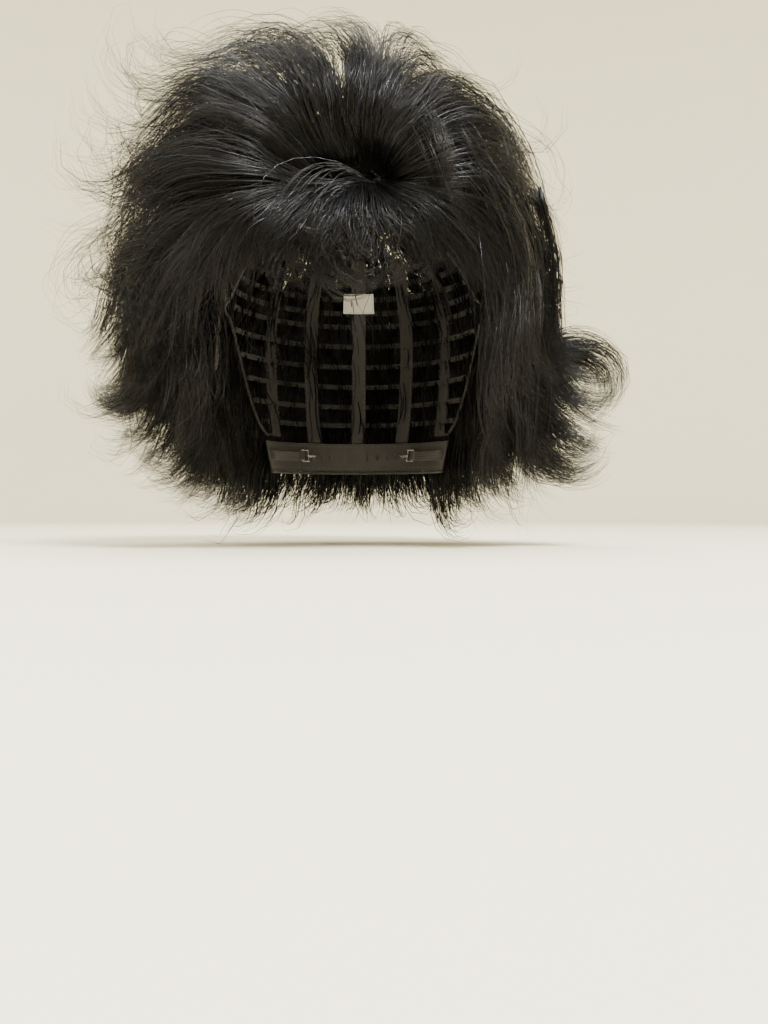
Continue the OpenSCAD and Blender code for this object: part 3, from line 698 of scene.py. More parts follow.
# Down the wearer's left side to where the flips begin.
LEFT_FAN = [
    [(104, 70, 0.9), (112, 40, 1.0), (114, 10, 1.0), (116, -8, 1.0), (124, -16, 1.0), (134, -12, 1.0)],
    [(94, 62, 0.85), (104, 30, 0.98), (106, 0, 1.0), (110, -26, 1.0), (122, -36, 1.0), (134, -30, 1.0)],
    [(90, 46, 0.8), (97, 14, 0.92), (99, -18, 1.0), (104, -46, 1.0), (116, -58, 1.0), (130, -54, 1.0)],
    [(86, 30, 0.7), (91, -4, 0.8), (91, -38, 0.95), (95, -66, 1.0), (106, -78, 1.0), (120, -76, 1.0)],
    [(84, 10, 0.6), (86, -24, 0.7), (84, -56, 0.9), (84, -80, 1.0), (92, -92, 1.0), (104, -92, 1.0)],
    [(82, -6, 0.5), (82, -40, 0.6), (78, -68, 0.85), (74, -90, 1.0), (76, -104, 1.0), (84, -108, 1.0)],
]

# The tips that sweep out between the two flips on the wearer's left.
LEFT_TIPS = [
    [(102, 34, 0.95), (110, 6, 1.0), (119, -14, 1.0), (133, -24, 1.0), (146, -22, 1.0), (152, -12, 1.0)],
    [(100, 22, 0.95), (107, -8, 1.0), (118, -28, 1.0), (134, -38, 1.0), (147, -38, 1.0), (153, -28, 1.0)],
    [(98, 10, 0.9), (105, -18, 1.0), (117, -40, 1.0), (133, -50, 1.0), (146, -52, 1.0), (151, -44, 1.0)],
    [(96, 0, 0.9), (103, -28, 1.0), (114, -50, 1.0), (130, -63, 1.0), (144, -66, 1.0), (150, -58, 1.0)],
    [(94, -10, 0.9), (99, -38, 1.0), (108, -62, 1.0), (122, -77, 1.0), (136, -79, 1.0), (146, -70, 1.0)],
]

# Single hairs that stand away: loops off the wearer's right, the crown, and curls on the forehead.
WISPS = [
    [(-112, 70, 1.0), (-136, 64, 1.0), (-158, 50, 1.0), (-170, 34, 1.0), (-166, 18, 1.0), (-150, 12, 1.0)],
    [(-114, 62, 1.0), (-136, 58, 1.0), (-152, 46, 1.0), (-160, 32, 1.0), (-154, 18, 1.0), (-140, 16, 1.0)],
    [(-114, 54, 1.0), (-132, 50, 1.0), (-146, 40, 1.0), (-152, 26, 1.0), (-146, 10, 1.0), (-134, 8, 1.0)],
    [(-116, 44, 1.0), (-136, 36, 1.0), (-150, 22, 1.0), (-164, 14, 1.0), (-172, 24, 1.0), (-170, 36, 1.0)],
]
FLYAWAYS = [
    [
        (-60, 140, 1.0), (-84, 160, 1.0), (-104, 166, 1.0),
        (-114, 156, 1.0), (-108, 144, 1.0), (-98, 142, 1.0),
    ],
    [(-30, 150, 1.0), (-44, 168, 1.0), (-66, 176, 1.0), (-88, 172, 1.0), (-98, 160, 1.0), (-94, 150, 1.0)],
    [(-20, 150, 1.0), (-26, 168, 1.0), (-40, 176, 1.0), (-58, 176, 1.0), (-72, 168, 1.0), (-74, 158, 1.0)],
    [(6, 150, 1.0), (4, 166, 1.0), (-8, 176, 1.0), (-24, 176, 1.0), (-34, 168, 1.0), (-30, 160, 1.0)],
    [(20, 146, 1.0), (34, 160, 1.0), (52, 158, 1.0), (66, 146, 1.0), (70, 134, 1.0), (62, 128, 1.0)],
    [(84, 120, 1.0), (100, 112, 1.0), (112, 96, 1.0), (116, 78, 1.0), (112, 64, 1.0), (106, 60, 1.0)],
]
FOREHEAD = [
    [(-50, 34, 0.7), (-56, 20, 0.5), (-50, 10, 0.4), (-40, 12, 0.4), (-36, 20, 0.4), (-28, 16, 0.4)],
    [(-60, 26, 0.7), (-70, 14, 0.5), (-74, 2, 0.4), (-66, -6, 0.4), (-58, -2, 0.4), (-60, 6, 0.4)],
    [(8, 32, 0.8), (4, 18, 0.5), (6, 4, 0.4), (14, -4, 0.4), (20, -12, 0.4), (18, -16, 0.4)],
    [(40, 34, 0.7), (52, 26, 0.5), (58, 14, 0.4), (52, 6, 0.4), (46, 8, 0.4), (50, 16, 0.4)],
    [(60, 30, 0.7), (70, 18, 0.5), (72, 4, 0.4), (66, -6, 0.4), (60, -4, 0.4), (62, 6, 0.4)],
]


def singles(rng, curves, each):
    """A few separate hairs near each curve."""
    paths = []
    for c in curves:
        c = np.repeat(np.array(c, float)[None], each, axis=0)
        c[:, :, :2] += rng.normal(0, 3.5, (each, 1, 2)) + rng.normal(0, 2.5, (each, c.shape[1], 2))
        paths += [through(row) for row in c]
    run = np.array(paths)
    guides = soften(on_hair(run[..., 0] * MM, run[..., 1] * MM, run[..., 2]))
    return resample(guides, np.linspace(0, 1, 30)[None, :] * rng.uniform(0.7, 1, len(guides))[:, None])


def ring_path(centre, turn, tilt, start, sweep, entry):
    """A lock that comes in through entry and goes round a ring. Degrees run up from the wearer's left."""
    angle = np.radians(start + sweep * np.linspace(0, 1, 10))
    ring = np.stack([np.cos(angle) * turn, np.sin(angle) * tilt, np.sin(angle) * turn * 0.78], -1)
    points = np.array([*entry, *(ring + np.asarray(centre))], float)
    far = lengths_along(points)
    return points_at(points, far, np.linspace(0, far[-1], GUIDE_POINTS)) * MM


def flips(rng, side, number):
    """The open, ring-like flips at the ends of a side. side is 1 for the wearer's left."""
    paths = []
    for _ in range(number):
        if side > 0:
            if rng.uniform() < 0.55:
                turn = rng.uniform(12, 29)
                centre = (rng.uniform(120, 132), rng.uniform(-8, 30), rng.uniform(-34, -20))
                start, sweep = 150 + rng.uniform(-10, 10), -rng.uniform(150, 290)
            else:
                turn = rng.uniform(11, 26)
                centre = (rng.uniform(116, 130), rng.uniform(-8, 32), rng.uniform(-72, -54))
                start, sweep = 190 + rng.uniform(-15, 15), rng.uniform(120, 230)
            entry = [(96, centre[1] + 4, centre[2] + 62), (104, centre[1], centre[2] + 34)]
        else:
            turn = rng.uniform(9, 17)
            centre = (rng.uniform(-142, -132), rng.uniform(-8, 26), rng.uniform(-36, -26))
            start, sweep = -60 + rng.uniform(-15, 15), -rng.uniform(90, 190)
            entry = [(-112, centre[1], centre[2] + 46), (-118, centre[1], centre[2] + 8)]
        paths.append(ring_path(centre, turn, rng.uniform(-4, 4), start, sweep, entry))
    return soften(np.array(paths), 5)


ZONES = [
    "crown_hair", "front_hair", "fringe_hair", "left_temple_hair", "right_temple_hair", "left_side_hair",
    "right_side_hair", "back_left_hair", "back_right_hair", "lower_back_left_hair", "lower_back_right_hair",
    "nape_hair",
]


def zone_of(bearing, z):
    """The CAD hair node that each root's strands stand for."""
    b = (bearing + 180) % 360 - 180
    zone = np.full(len(b), "", dtype=object)
    left = b >= 0
    a = np.abs(b)
    top = z >= 66 * MM
    front = (a < 50) & ~top
    zone[top] = "crown_hair"
    zone[front & (z >= 45 * MM)] = "front_hair"
    zone[front & (z < 45 * MM)] = "fringe_hair"
    temple = (a >= 50) & (a < 100) & ~top & (z >= 27 * MM)
    side = (a >= 50) & (a < 112) & ~top & ~temple & (z < 27 * MM)
    high_back = (a >= 100) & ~top & ~side & (z >= 12 * MM)
    low_back = (a >= 112) & ~top & (z < 12 * MM) & (z >= -27 * MM)
    nape = (a >= 112) & (z < -27 * MM)
    for which, name in ((temple, "temple_hair"), (side, "side_hair")):
        zone[which & left] = "left_" + name
        zone[which & ~left] = "right_" + name
    zone[high_back & left] = "back_left_hair"
    zone[high_back & ~left] = "back_right_hair"
    zone[low_back & left] = "lower_back_left_hair"
    zone[low_back & ~left] = "lower_back_right_hair"
    zone[nape] = "nape_hair"
    return zone


def inside_limits(paths):
    """Strands that keep within the CAD's bounding box, with some room round it."""
    low, high = (np.array(c) for c in CAD_BOX)
    room = (high - low) * 0.025 + 8.5 * MM
    return np.all((paths > low - room) & (paths < high + room), axis=(1, 2))


MOST_STRANDS = 3000


def make_locks(name, nodes, paths, thick, rng, shades):
    """Strands as one or more pieces, each small enough to go out whole."""
    paths = off_the_tabs(paths)
    keep = inside_limits(paths)
    paths, thick = paths[keep], thick[keep]
    radii = radii_for(rng, len(paths), 1.0, paths.shape[1]) * thick[:, None]
    shade = rng.choice(len(shades), len(paths), p=SHADE_SHARES)
    parts = max(1, math.ceil(len(paths) / MOST_STRANDS))
    for i in range(parts):
        title = name if parts == 1 else f"{name}_{i + 1}"
        piece = tubes(title, paths[i::parts], radii[i::parts], shade[i::parts], shades)
        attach(piece, "cap")
        for node in nodes if i == 0 else ():
            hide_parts(node)
    print(name, len(paths), "strands, left out", int((~keep).sum()))


def fan_locks(rng, curves, number, strands, wide, ends, wavy, beside):
    """Strands of a fan, three locks to each place."""
    guides = np.repeat(fan(rng, curves, number, end_from=ends, wavy=wavy, beside=beside), 3, axis=0)
    apart = np.linspace(0.5, 1.2, GUIDE_POINTS)[None, :, None]
    guides = guides + rng.normal(0, 2.2 * MM, (len(guides), 1, 3)) * apart
    return spread(rng, guides, strands, wide, ends=ends)


def make_hair():
    rng = np.random.default_rng(SEED)
    fine = 2
    fibre = 0.34 * MM
    shades = hair_shades()
    outer, ob, oz = hair_mass(rng, 8.5, 3, 5 * fine, outer_layer, 6 * MM, 0.25)
    under, ub, uz = hair_mass(rng, 8.5, 3, 3 * fine, under_layer, 8 * MM, 0.85)
    paths = np.concatenate([outer, under])
    thick = np.concatenate([np.full(len(outer), fibre), np.full(len(under), 1.9 * fibre)])
    zone = zone_of(np.concatenate([ob, ub]), np.concatenate([oz, uz]))
    for name in ZONES:
        pick = zone == name
        make_locks(name.replace("_hair", "_locks"), [name], paths[pick], thick[pick], rng, shades)
    for name, curves, number, wide, ends, wavy, beside in (
        ("crown_sweep", CROWN_FAN, 100, 6 * MM, 0.75, 2.0, None),
        ("front_fan", FRONT_FAN, 70, 4.5 * MM, 0.8, 1.2, None),
        ("right_waves", RIGHT_FAN, 104, 4.5 * MM, 0.85, 3.0, (-52, 84)),
        ("left_waves", LEFT_FAN, 92, 4.5 * MM, 0.85, 1.5, (-48, 84)),
        ("left_tips", LEFT_TIPS, 34, 4 * MM, 0.85, 1.0, (-30, 45)),
    ):
        strands = fan_locks(rng, curves, number, 4 * fine, wide, ends, wavy, beside)
        make_locks(name, [], strands, np.full(len(strands), fibre), rng, shades)
    curls = np.concatenate([fan(rng, [c, c], 4, end_from=0.92, wavy=0.5) for c in FRINGE_CURLS])
    strands = spread(rng, curls, 8 * fine, 2.6 * MM, 1.6 * MM, ends=0.85)
    make_locks("fringe_curls", [], strands, np.full(len(strands), 0.8 * fibre), rng, shades)
    for name, curves, each in (
        ("side_wisps", WISPS, 9),
        ("flyaways", FLYAWAYS, 8),
        ("forehead_hairs", FOREHEAD, 2),
    ):
        strands = singles(rng, curves, each)
        make_locks(name, [], strands, np.full(len(strands), 0.22 * MM), rng, shades)
    for name, side, number in (("left_flick_locks", 1, 46), ("right_flick_locks", -1, 20)):
        guides = flips(rng, side, number)
        strands = spread(rng, guides, 11 * fine, 6 * MM, 4 * MM, ends=0.7)
        node = "left_flick_hair" if side > 0 else "right_flick_hair"
        make_locks(name, [node], strands, np.full(len(strands), fibre), rng, shades)


# ---------- Fabrics and metal of the cap ----------


def textured(name, light, dark, scale, roughness, bump, sheen=0.0, weave=None, metallic=0.0):
    """A material whose colour, roughness and relief come from noise, and from a weave if one is named."""
    mat = principled(name, light, roughness)
    tree = mat.node_tree
    shader = tree.nodes["Principled BSDF"]
    shader.inputs["Metallic"].default_value = metallic
    shader.inputs["Sheen Weight"].default_value = sheen
    place, noise = two_tone(mat, light, dark, scale, 6)
    spread_of = tree.nodes.new("ShaderNodeMapRange")
    spread_of.inputs["To Min"].default_value = roughness * 0.8
    spread_of.inputs["To Max"].default_value = min(1, roughness * 1.2)
    tree.links.new(noise.outputs["Fac"], spread_of.inputs["Value"])
    tree.links.new(spread_of.outputs["Result"], shader.inputs["Roughness"])
    relief = tree.nodes.new("ShaderNodeBump")
    relief.inputs["Strength"].default_value = bump
    relief.inputs["Distance"].default_value = 0.0002
    if weave:
        threads = tree.nodes.new("ShaderNodeTexWave")
        threads.bands_direction = weave
        threads.inputs["Scale"].default_value = 420
        threads.inputs["Distortion"].default_value = 1.5
        tree.links.new(place.outputs["Object"], threads.inputs["Vector"])
        tree.links.new(threads.outputs["Fac"], relief.inputs["Height"])
    else:
        grain = tree.nodes.new("ShaderNodeTexNoise")
        grain.inputs["Scale"].default_value = scale * 6
        tree.links.new(place.outputs["Object"], grain.inputs["Vector"])
        tree.links.new(grain.outputs["Fac"], relief.inputs["Height"])
    tree.links.new(relief.outputs["Normal"], shader.inputs["Normal"])
    return mat


def cap_materials():
    rows = {
        "lace": ("cap_lace", (0.020, 0.017, 0.016), (0.034, 0.030, 0.028), 900, 0.75, 0.3),
        "ribbon": ("ribbon", (0.016, 0.014, 0.014), (0.030, 0.027, 0.026), 500, 0.55, 0.5, 0.3, "Z"),
        "weft": ("weft_thread", (0.008, 0.007, 0.007), (0.018, 0.016, 0.015), 1500, 0.6, 0.4, 0.2),
        "felt": ("felt", (0.030, 0.025, 0.023), (0.060, 0.050, 0.045), 1400, 0.95, 0.8, 0.12),
        "binding": ("binding_cord", (0.012, 0.010, 0.010), (0.024, 0.021, 0.020), 1800, 0.6, 0.4, 0.2),
        "label": ("label_satin", (0.74, 0.71, 0.65), (0.66, 0.63, 0.57), 700, 0.38, 0.3, 0.2, "X"),
        "elastic": ("elastic", (0.022, 0.019, 0.020), (0.042, 0.037, 0.038), 1100, 0.7, 0.6, 0.3, "Z"),
        "thread": ("thread", (0.014, 0.012, 0.012), (0.030, 0.027, 0.026), 2200, 0.5, 0.4, 0.3),
        "steel": ("hook_steel", (0.58, 0.58, 0.60), (0.44, 0.44, 0.46), 800, 0.26, 0.12, 0.0, None, 1.0),
    }
    return {use: textured(*row) for use, row in rows.items()}


# ---------- The cap ----------

SKIN_GAP = 0.6 * MM
EDGE_STEP = 4.5


def bearing_of(co):
    return np.degrees(np.arctan2(co[:, 0] / HEAD_W, -co[:, 1] / HEAD_D))


def corners_of(node):
    return np.array([v.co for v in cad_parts[node].data.vertices])


def height_along(node, bearings):
    """The mean height of a node at bearings, from its corners."""
    co = corners_of(node)
    at = np.round(bearing_of(co) / EDGE_STEP)
    keys = np.unique(at)
    mean = np.array([co[at == k, 2].mean() for k in keys])
    return np.interp(bearings, keys * EDGE_STEP, mean)


def finish_piece(obj, nodes=(), body="cap"):
    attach(obj, body)
    for node in nodes:
        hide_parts(node)
    return obj


def threads(name, paths, radius, mat, sides=6, beat=0.0, beat_length=1.6 * MM):
    """Threads along paths of one length each, with a stitch-like swell where beat is given."""
    radii = radius * (1 + beat * np.sin(2 * math.pi * lengths_along(paths) / beat_length))
    return tubes(name, paths, radii, np.zeros(len(paths), int), [mat], sides)


def twisted(path, offset, pitch, plies=2):
    """Threads wound round each path."""
    across, over = frames_along(path)
    far = lengths_along(path)
    wound = []
    for k in range(plies):
        turn = (2 * math.pi * (far / pitch + k / plies))[..., None]
        wound.append(path + offset * (np.cos(turn) * across + np.sin(turn) * over))
    return np.concatenate(wound)


def dashes(path, length, gap, points=6):
    """Separate stitches along one path of points. Returns (count, points, 3)."""
    far = lengths_along(path)
    starts = np.arange(gap / 2, far[-1] - length, length + gap)
    return points_at(path, far, starts[:, None] + np.linspace(0, length, points)[None, :])


def joined(objs, name):
    """Several meshes as one object."""
    with bpy.context.temp_override(active_object=objs[0], selected_editable_objects=objs):
        bpy.ops.object.join()
    objs[0].name = name
    return objs[0]


def make_net(mats):
    low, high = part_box("crown_net")[0].z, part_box("crown_patch")[0].z + 0.6 * MM
    t = np.linspace(0, 1, 40)
    z = low + 0.6 * MM + (high - low - 0.6 * MM) * np.sin(t * math.pi / 2)
    paths = []
    for lean, off in ((42, 0.85 * MM), (-42, 1.15 * MM)):
        for start in np.arange(0, 360, 4.0):
            paths.append(skull(start + lean * t, z, off))
    net = threads("net_lattice", np.array(paths), 0.24 * MM, mats["lace"], 4)
    b = np.linspace(0, 360, 181)
    rims = [skull(b, h, 1.0 * MM) for h in (low + 0.7 * MM, high - 0.4 * MM)]
    rim = threads("net_rim", np.array(rims), 0.4 * MM, mats["lace"], 6, 0.15)
    finish_piece(joined([net, rim], "net_lattice"), ["crown_net"])


def make_lace_band(mats):
    t = np.linspace(0, 1, 26)
    paths = []
    for lean, off in ((9, 0.88 * MM), (-9, 1.12 * MM)):
        for start in np.arange(-67, 67.1, 1.15):
            b = np.clip(start + lean * (2 * t - 1), -58, 58)
            edge = height_along("edge_binding", b)
            paths.append(skull(b, edge + (1.6 + 18.2 * t) * MM, off))
    lace = threads("lace_fill", np.array(paths), 0.13 * MM, mats["lace"], 3)
    b = np.linspace(-58, 58, 120)
    edge = height_along("edge_binding", b)
    rims = [skull(b, edge + up * MM, 1.0 * MM) for up in (1.8, 10.6, 19.6)]
    rim = threads("lace_rim", np.array(rims), 0.32 * MM, mats["lace"], 6, 0.2)
    finish_piece(joined([lace, rim], "lace_band"), ["front_lace_band"])


def make_binding(mats):
    b = np.linspace(-129, 129, 900)
    path = skull(b, height_along("edge_binding", b), 1.0 * MM)[None]
    cord = threads("edge_cord", twisted(path, 0.42 * MM, 4.2 * MM), 0.46 * MM, mats["binding"], 7)
    finish_piece(cord, ["edge_binding"])


def make_wefts(mats):
    """Each weft is three stitched rails of folded fibre with a thread laced over them."""
    for node in sorted(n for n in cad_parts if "weft" in n):
        co = corners_of(node)
        b = bearing_of(co)
        in_front = node in ("front_weft", "fringe_weft")
        if in_front:
            low, high = b.min(), b.max()
        elif node.startswith("crown_weft"):
            low, high = 0, 362
        else:
            low = b[b > 0].min()
            high = 360 - low
        number = max(60, int((high - low) * 1.1))
        at = np.linspace(low, high, number)
        folded = (at + 180) % 360 - 180
        middle = height_along(node, folded) if in_front else np.full(number, co[:, 2].mean())
        rails = [skull(at, middle + up * MM, 2.45 * MM) for up in (-1.02, 0, 1.02)]
        rail = threads("weft_rails", np.array(rails), 0.52 * MM, mats["weft"], 5, 0.14, 2.6 * MM)
        turns = number * 3
        at2 = np.linspace(low, high, turns)
        swing = np.interp(at2, at, middle) + 1.4 * MM * np.where(np.arange(turns) % 4 < 2, 1, -1)
        lace = skull(at2, swing, 3.02 * MM)[None]
        over = threads("weft_lacing", lace, 0.18 * MM, mats["thread"], 3)
        finish_piece(joined([rail, over], node.replace("weft", "sewn_weft")), [node])


def soft_copy(node, title, voxel, relief, mat):
    """A soft piece over a CAD node: its shape on a fine mesh, raised along its normals by relief(points)."""
    obj = bpy.data.objects.new(title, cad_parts[node].data.copy())
    obj.data.materials.clear()
    bpy.context.scene.collection.objects.link(obj)
    remesh = obj.modifiers.new("remesh", "REMESH")
    remesh.mode = "VOXEL"
    remesh.voxel_size = voxel
    even = obj.modifiers.new("even", "SMOOTH")
    even.iterations = 3
    graph = bpy.context.evaluated_depsgraph_get()
    mesh = bpy.data.meshes.new_from_object(obj.evaluated_get(graph))
    obj.modifiers.clear()
    obj.data = mesh
    count = len(mesh.vertices)
    co = np.empty(count * 3)
    out = np.empty(count * 3)
    mesh.vertices.foreach_get("co", co)
    mesh.vertices.foreach_get("normal", out)
    co, out = co.reshape(-1, 3), out.reshape(-1, 3)
    co = co + out * relief(co)[:, None]
    mesh.vertices.foreach_set("co", co.astype(np.float32).ravel())
    mesh.polygons.foreach_set("use_smooth", np.ones(len(mesh.polygons), bool))
    mesh.materials.append(mat)
    mesh.update()
    return obj


def grosgrain(p):
    """Ribs across a ribbon."""
    return 0.05 * MM * np.sin(2 * math.pi * p[:, 2] / (1.3 * MM))


def round_nape(p):
    """Distance round the nape of points, and height."""
    return np.arctan2(p[:, 0], p[:, 1] - NECK[1]) * NECK_R, p[:, 2]


def ribbed(p):
    """Elastic: ribs along it and fine gathers across it."""
    far, up = round_nape(p)
    ribs = 0.07 * MM * np.sin(2 * math.pi * up / (1.5 * MM))
    return ribs + 0.03 * MM * np.sin(2 * math.pi * far / (0.9 * MM))


def twill(p):
    """Slanting ribs of a tape."""
    far, up = round_nape(p)
    return 0.05 * MM * np.sin(2 * math.pi * (far + up) / (1.8 * MM))


def fuzzy(p):
    """The uneven nap of felt."""
    rng = np.random.default_rng(len(p))
    return rng.normal(0, 0.035 * MM, len(p))


def flat(p):
    return np.zeros(len(p))


def make_ribbons(mats):
    for node in sorted(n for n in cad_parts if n.startswith("ribbon_")):
        co = corners_of(node)
        middle = math.degrees(math.atan2(co[:, 0].mean() / HEAD_W, -co[:, 1].mean() / HEAD_D))
        low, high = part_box(node)
        ribbon = soft_copy(node, "woven", 0.36 * MM, grosgrain, mats["ribbon"])
        z = np.linspace(low.z + 1 * MM, high.z - 1 * MM, 80)
        v = np.arcsin(np.clip(z / np.where(z >= 0, CROWN, NAPE_DROP), -1, 1))
        u = math.radians(middle)
        reach = np.hypot(HEAD_W * np.cos(v) * math.cos(u), HEAD_D * np.cos(v) * math.sin(u))
        rows = []
        for side in (-1, 1):
            b = middle + side * np.degrees(3.6 * MM / reach)
            for off in (SKIN_GAP - 0.02 * MM, LACE_OUT + 0.02 * MM):
                rows.append(dashes(skull(b, z, off), 2.2 * MM, 1.1 * MM))
        sewn = threads("sewing", np.concatenate(rows), 0.14 * MM, mats["thread"], 4)
        finish_piece(joined([ribbon, sewn], node.replace("ribbon", "woven_ribbon")), [node])


def make_crown_patch(mats):
    patch = soft_copy("crown_patch", "felt_patch", 0.3 * MM, fuzzy, mats["felt"])
    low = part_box("crown_patch")[0].z
    b = np.linspace(0, 360, 121)
    ring = dashes(skull(b, low + 0.9 * MM, LACE_OUT), 1.8 * MM, 1.2 * MM)
    sewn = threads("patch_sewing", ring, 0.15 * MM, mats["thread"], 4)
    finish_piece(joined([patch, sewn], "felt_patch"), ["crown_patch"])


def make_comfort_strip(mats):
    strip = soft_copy("front_comfort_strip", "comfort_strip", 0.22 * MM, fuzzy, mats["felt"])
    finish_piece(strip, ["front_comfort_strip"])


def make_label(mats):
    label = soft_copy("size_label", "blank_label", 0.14 * MM, flat, mats["label"])
    low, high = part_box("size_label")
    inset = 0.9 * (180 - bearing_of(np.array([high]))[0])
    left, right = 180 - inset, 180 + inset
    z0, z1 = low.z + 0.8 * MM, high.z - 0.8 * MM
    corners = [(left, z0), (right, z0), (right, z1), (left, z1), (left, z0)]
    rows = []
    for (b0, h0), (b1, h1) in zip(corners, corners[1:]):
        t = np.linspace(0, 1, 20)
        edge = skull(b0 + (b1 - b0) * t, h0 + (h1 - h0) * t, -0.03 * MM)
        rows.append(dashes(edge, 1.2 * MM, 0.7 * MM))
    sewn = threads("label_sewing", np.concatenate(rows), 0.1 * MM, mats["thread"], 4)
    finish_piece(joined([label, sewn], "blank_label"), ["size_label"])


nape_low, nape_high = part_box("nape_band")
# The band's inner face at its middle height, and how far the band leans out as it rises.
NAPE_INNER = 59 * MM
NAPE_SLOPE = math.atan2(4.0, 18.0)


def on_nape(angle, up, inward):
    """Points on the nape band, from degrees round it, distance up it and distance in from its inner face."""
    a = np.radians(angle)
    middle = (nape_low.z + nape_high.z) / 2
    radius = NAPE_INNER + up * math.sin(NAPE_SLOPE) - inward * math.cos(NAPE_SLOPE)
    z = middle + up * math.cos(NAPE_SLOPE) + inward * math.sin(NAPE_SLOPE)
    return np.stack([radius * np.sin(a), NECK[1] + radius * np.cos(a), z + 0 * a], -1)


def make_nape(mats):
    band = soft_copy("nape_band", "nape_tape", 0.36 * MM, twill, mats["ribbon"])
    a = np.linspace(-64, 64, 160)
    rows = [
        dashes(on_nape(a, up, inward), 2.4 * MM, 1.2 * MM)
        for up in (-7.2 * MM, 7.2 * MM)
        for inward in (0.03 * MM, -0.83 * MM)
    ]
    sewn = threads("nape_sewing", np.concatenate(rows), 0.15 * MM, mats["thread"], 4)
    finish_piece(joined([band, sewn], "nape_tape"), ["nape_band"])
    cord = soft_copy("nape_elastic", "nape_gather", 0.24 * MM, ribbed, mats["binding"])
    finish_piece(cord, ["nape_elastic"])


def make_adjusters(mats):
    for side, sign in (("left", 1), ("right", -1)):
        strap = soft_copy(f"{side}_adjuster_elastic", f"{side}_elastic", 0.22 * MM, ribbed, mats["elastic"])
        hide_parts(f"{side}_adjuster_elastic")
        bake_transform(strap)
        eye = soft_copy(f"{side}_strap_eye", f"{side}_elastic_eye", 0.14 * MM, flat, mats["elastic"])
        finish_piece(eye, [f"{side}_strap_eye"], f"{side}_strap_eye")
        centres = nape_loops(f"{side}_thread_loops")
        t = np.linspace(0, math.pi, 40)
        paths = [on_nape(a, 1.9 * MM * np.cos(t), 1.9 * MM * np.sin(t)) for a in centres]
        wound = twisted(np.array(paths), 0.17 * MM, 1.3 * MM)
        loops = threads(f"{side}_loops", wound, 0.18 * MM, mats["thread"], 6)
        finish_piece(loops, [f"{side}_thread_loops"])


def nape_loops(node):
    """Where each thread loop stands round the nape, in degrees."""
    co = corners_of(node)
    angle = np.sort(np.degrees(np.arctan2(co[:, 0], co[:, 1] - NECK[1])))
    breaks = np.flatnonzero(np.diff(angle) > 2)
    return [part.mean() for part in np.split(angle, breaks + 1)]


def outline(points):
    """The convex outline of flat points, in order."""
    points = sorted(set(map(tuple, np.round(points, 6))))

    def half(run):
        chain = []
        for p in run:
            while len(chain) > 1 and turn_of(chain[-2], chain[-1], p) <= 0:
                chain.pop()
            chain.append(p)
        return chain[:-1]

    return np.array(half(points) + half(points[::-1]))


def turn_of(a, b, c):
    """Above 0 where a, b, c turn to the left."""
    return (b[0] - a[0]) * (c[1] - a[1]) - (b[1] - a[1]) * (c[0] - a[0])


def make_ear_tabs(mats):
    for side in ("left", "right"):
        node = f"{side}_ear_tab"
        pad = soft_copy(node, "tab_felt", 0.26 * MM, fuzzy, mats["felt"])
        co = corners_of(node)
        middle = co.mean(0)
        across, along, out = np.linalg.svd(co - middle)[2]
        plane = np.stack([(co - middle) @ across, (co - middle) @ along], -1)
        rim = outline(plane)
        rim = rim - 1.3 * MM * unit(rim)
        rim = np.vstack([rim, rim[:1]])
        rows = []
        for lift in (-0.95 * MM, 0.95 * MM):
            path = middle + rim[:, :1] * across + rim[:, 1:] * along + lift * out
            rows.append(dashes(path, 1.6 * MM, 1.0 * MM))
        sewn = threads("tab_sewing", np.concatenate(rows), 0.16 * MM, mats["thread"], 4)
        finish_piece(joined([pad, sewn], f"{side}_felt_tab"), [node], node)


def make_metal(mats):
    for node in ("left_hook", "right_hook", "left_tab_stay", "right_tab_stay"):
        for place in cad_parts[node].material_slots:
            place.material = mats["steel"]


def make_cap():
    mats = cap_materials()
    make_net(mats)
    make_lace_band(mats)
    make_binding(mats)
    make_wefts(mats)
    make_ribbons(mats)
    make_crown_patch(mats)
    make_comfort_strip(mats)
    make_label(mats)
    make_nape(mats)
    make_adjusters(mats)
    make_ear_tabs(mats)
    make_metal(mats)


# ---------- Stage ----------


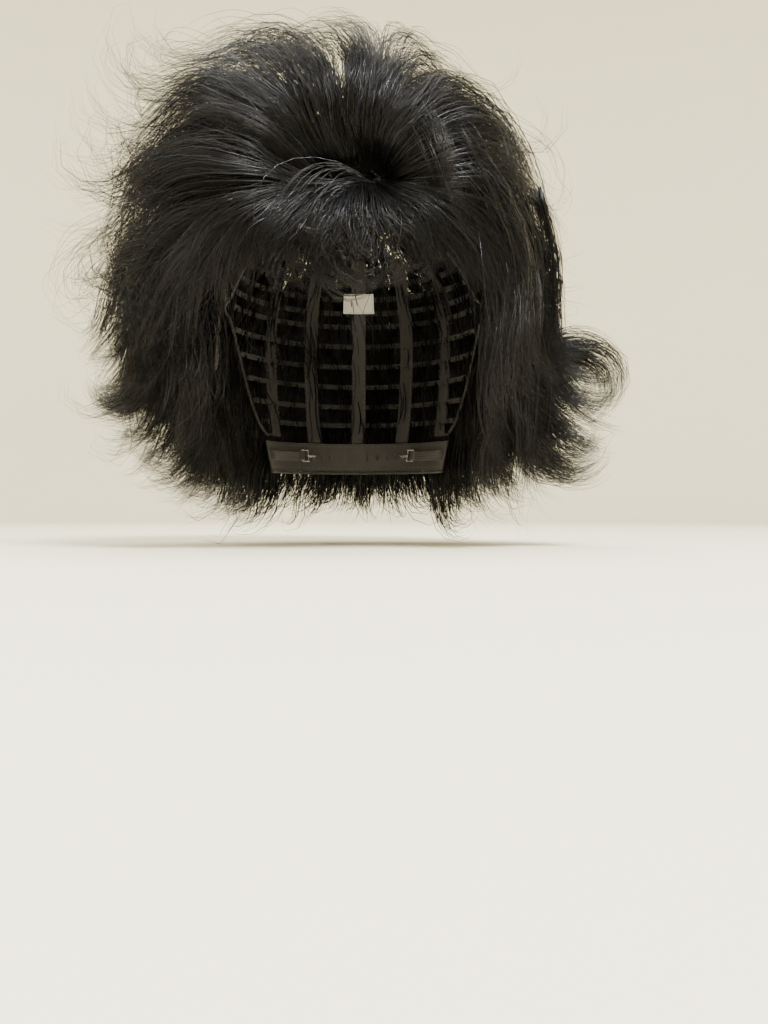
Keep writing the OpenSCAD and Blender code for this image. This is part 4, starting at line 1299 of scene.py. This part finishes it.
def make_floor():
    """A pale floor just under the lowest hair, which turns up into a wall all round."""
    floor_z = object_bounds()[0].z - 0.5 * MM
    mat = principled("stage_cream", (0.80, 0.75, 0.575), 0.9)
    flat_r, bend, wall_top, turns = 1.6, 0.5, 2.6, 72
    angles = np.linspace(0, math.pi / 2, 12)
    profile = [(flat_r + bend * math.sin(a), bend - bend * math.cos(a)) for a in angles]
    profile.append((flat_r + bend, wall_top))
    verts = []
    for r, h in profile:
        for k in range(turns):
            a = 2 * math.pi * k / turns
            verts.append((r * math.cos(a), r * math.sin(a), floor_z + h))
    faces = [list(range(turns))]
    for i in range(len(profile) - 1):
        for k in range(turns):
            k2 = (k + 1) % turns
            faces.append((i * turns + k, (i + 1) * turns + k, (i + 1) * turns + k2, i * turns + k2))
    mesh = bpy.data.meshes.new("studio")
    mesh.from_pydata(verts, [], faces)
    mesh.materials.append(mat)
    mesh.shade_smooth()
    obj = bpy.data.objects.new("studio", mesh)
    bpy.context.scene.collection.objects.link(obj)


def add_light(name, place, size, power):
    data = bpy.data.lights.new(name, "AREA")
    data.shape = "DISK"
    data.size = size
    data.energy = power
    lamp = bpy.data.objects.new(name, data)
    lamp.location = place
    aim = Vector((0, 0, 0.02)) - Vector(place)
    lamp.rotation_euler = aim.to_track_quat("-Z", "Y").to_euler()
    bpy.context.scene.collection.objects.link(lamp)


def make_lights():
    add_light("key", (0.45, -1.0, 1.25), 0.6, 92)
    add_light("fill", (-1.2, -0.9, 0.7), 1.0, 12)
    add_light("top", (0.0, 0.3, 1.6), 1.2, 22)
    add_light("rim", (-0.5, 1.2, 1.0), 0.8, 10)
    world = bpy.data.worlds.new("studio_world")
    world.use_nodes = True
    world.node_tree.nodes["Background"].inputs["Color"].default_value = (0.9, 0.88, 0.84, 1)
    world.node_tree.nodes["Background"].inputs["Strength"].default_value = 0.85
    bpy.context.scene.world = world


def make_camera():
    """Level with the nape, looking straight at the face."""
    data = bpy.data.cameras.new("camera")
    data.sensor_width = 36
    data.lens = 38.67
    data.clip_start = 0.01
    camera = bpy.data.objects.new("camera", data)
    camera.location = EYE
    camera.rotation_euler = (math.radians(90), 0, 0)
    bpy.context.scene.collection.objects.link(camera)
    bpy.context.scene.camera = camera


make_camera()
make_lights()
make_cap()
make_hair()
make_floor()
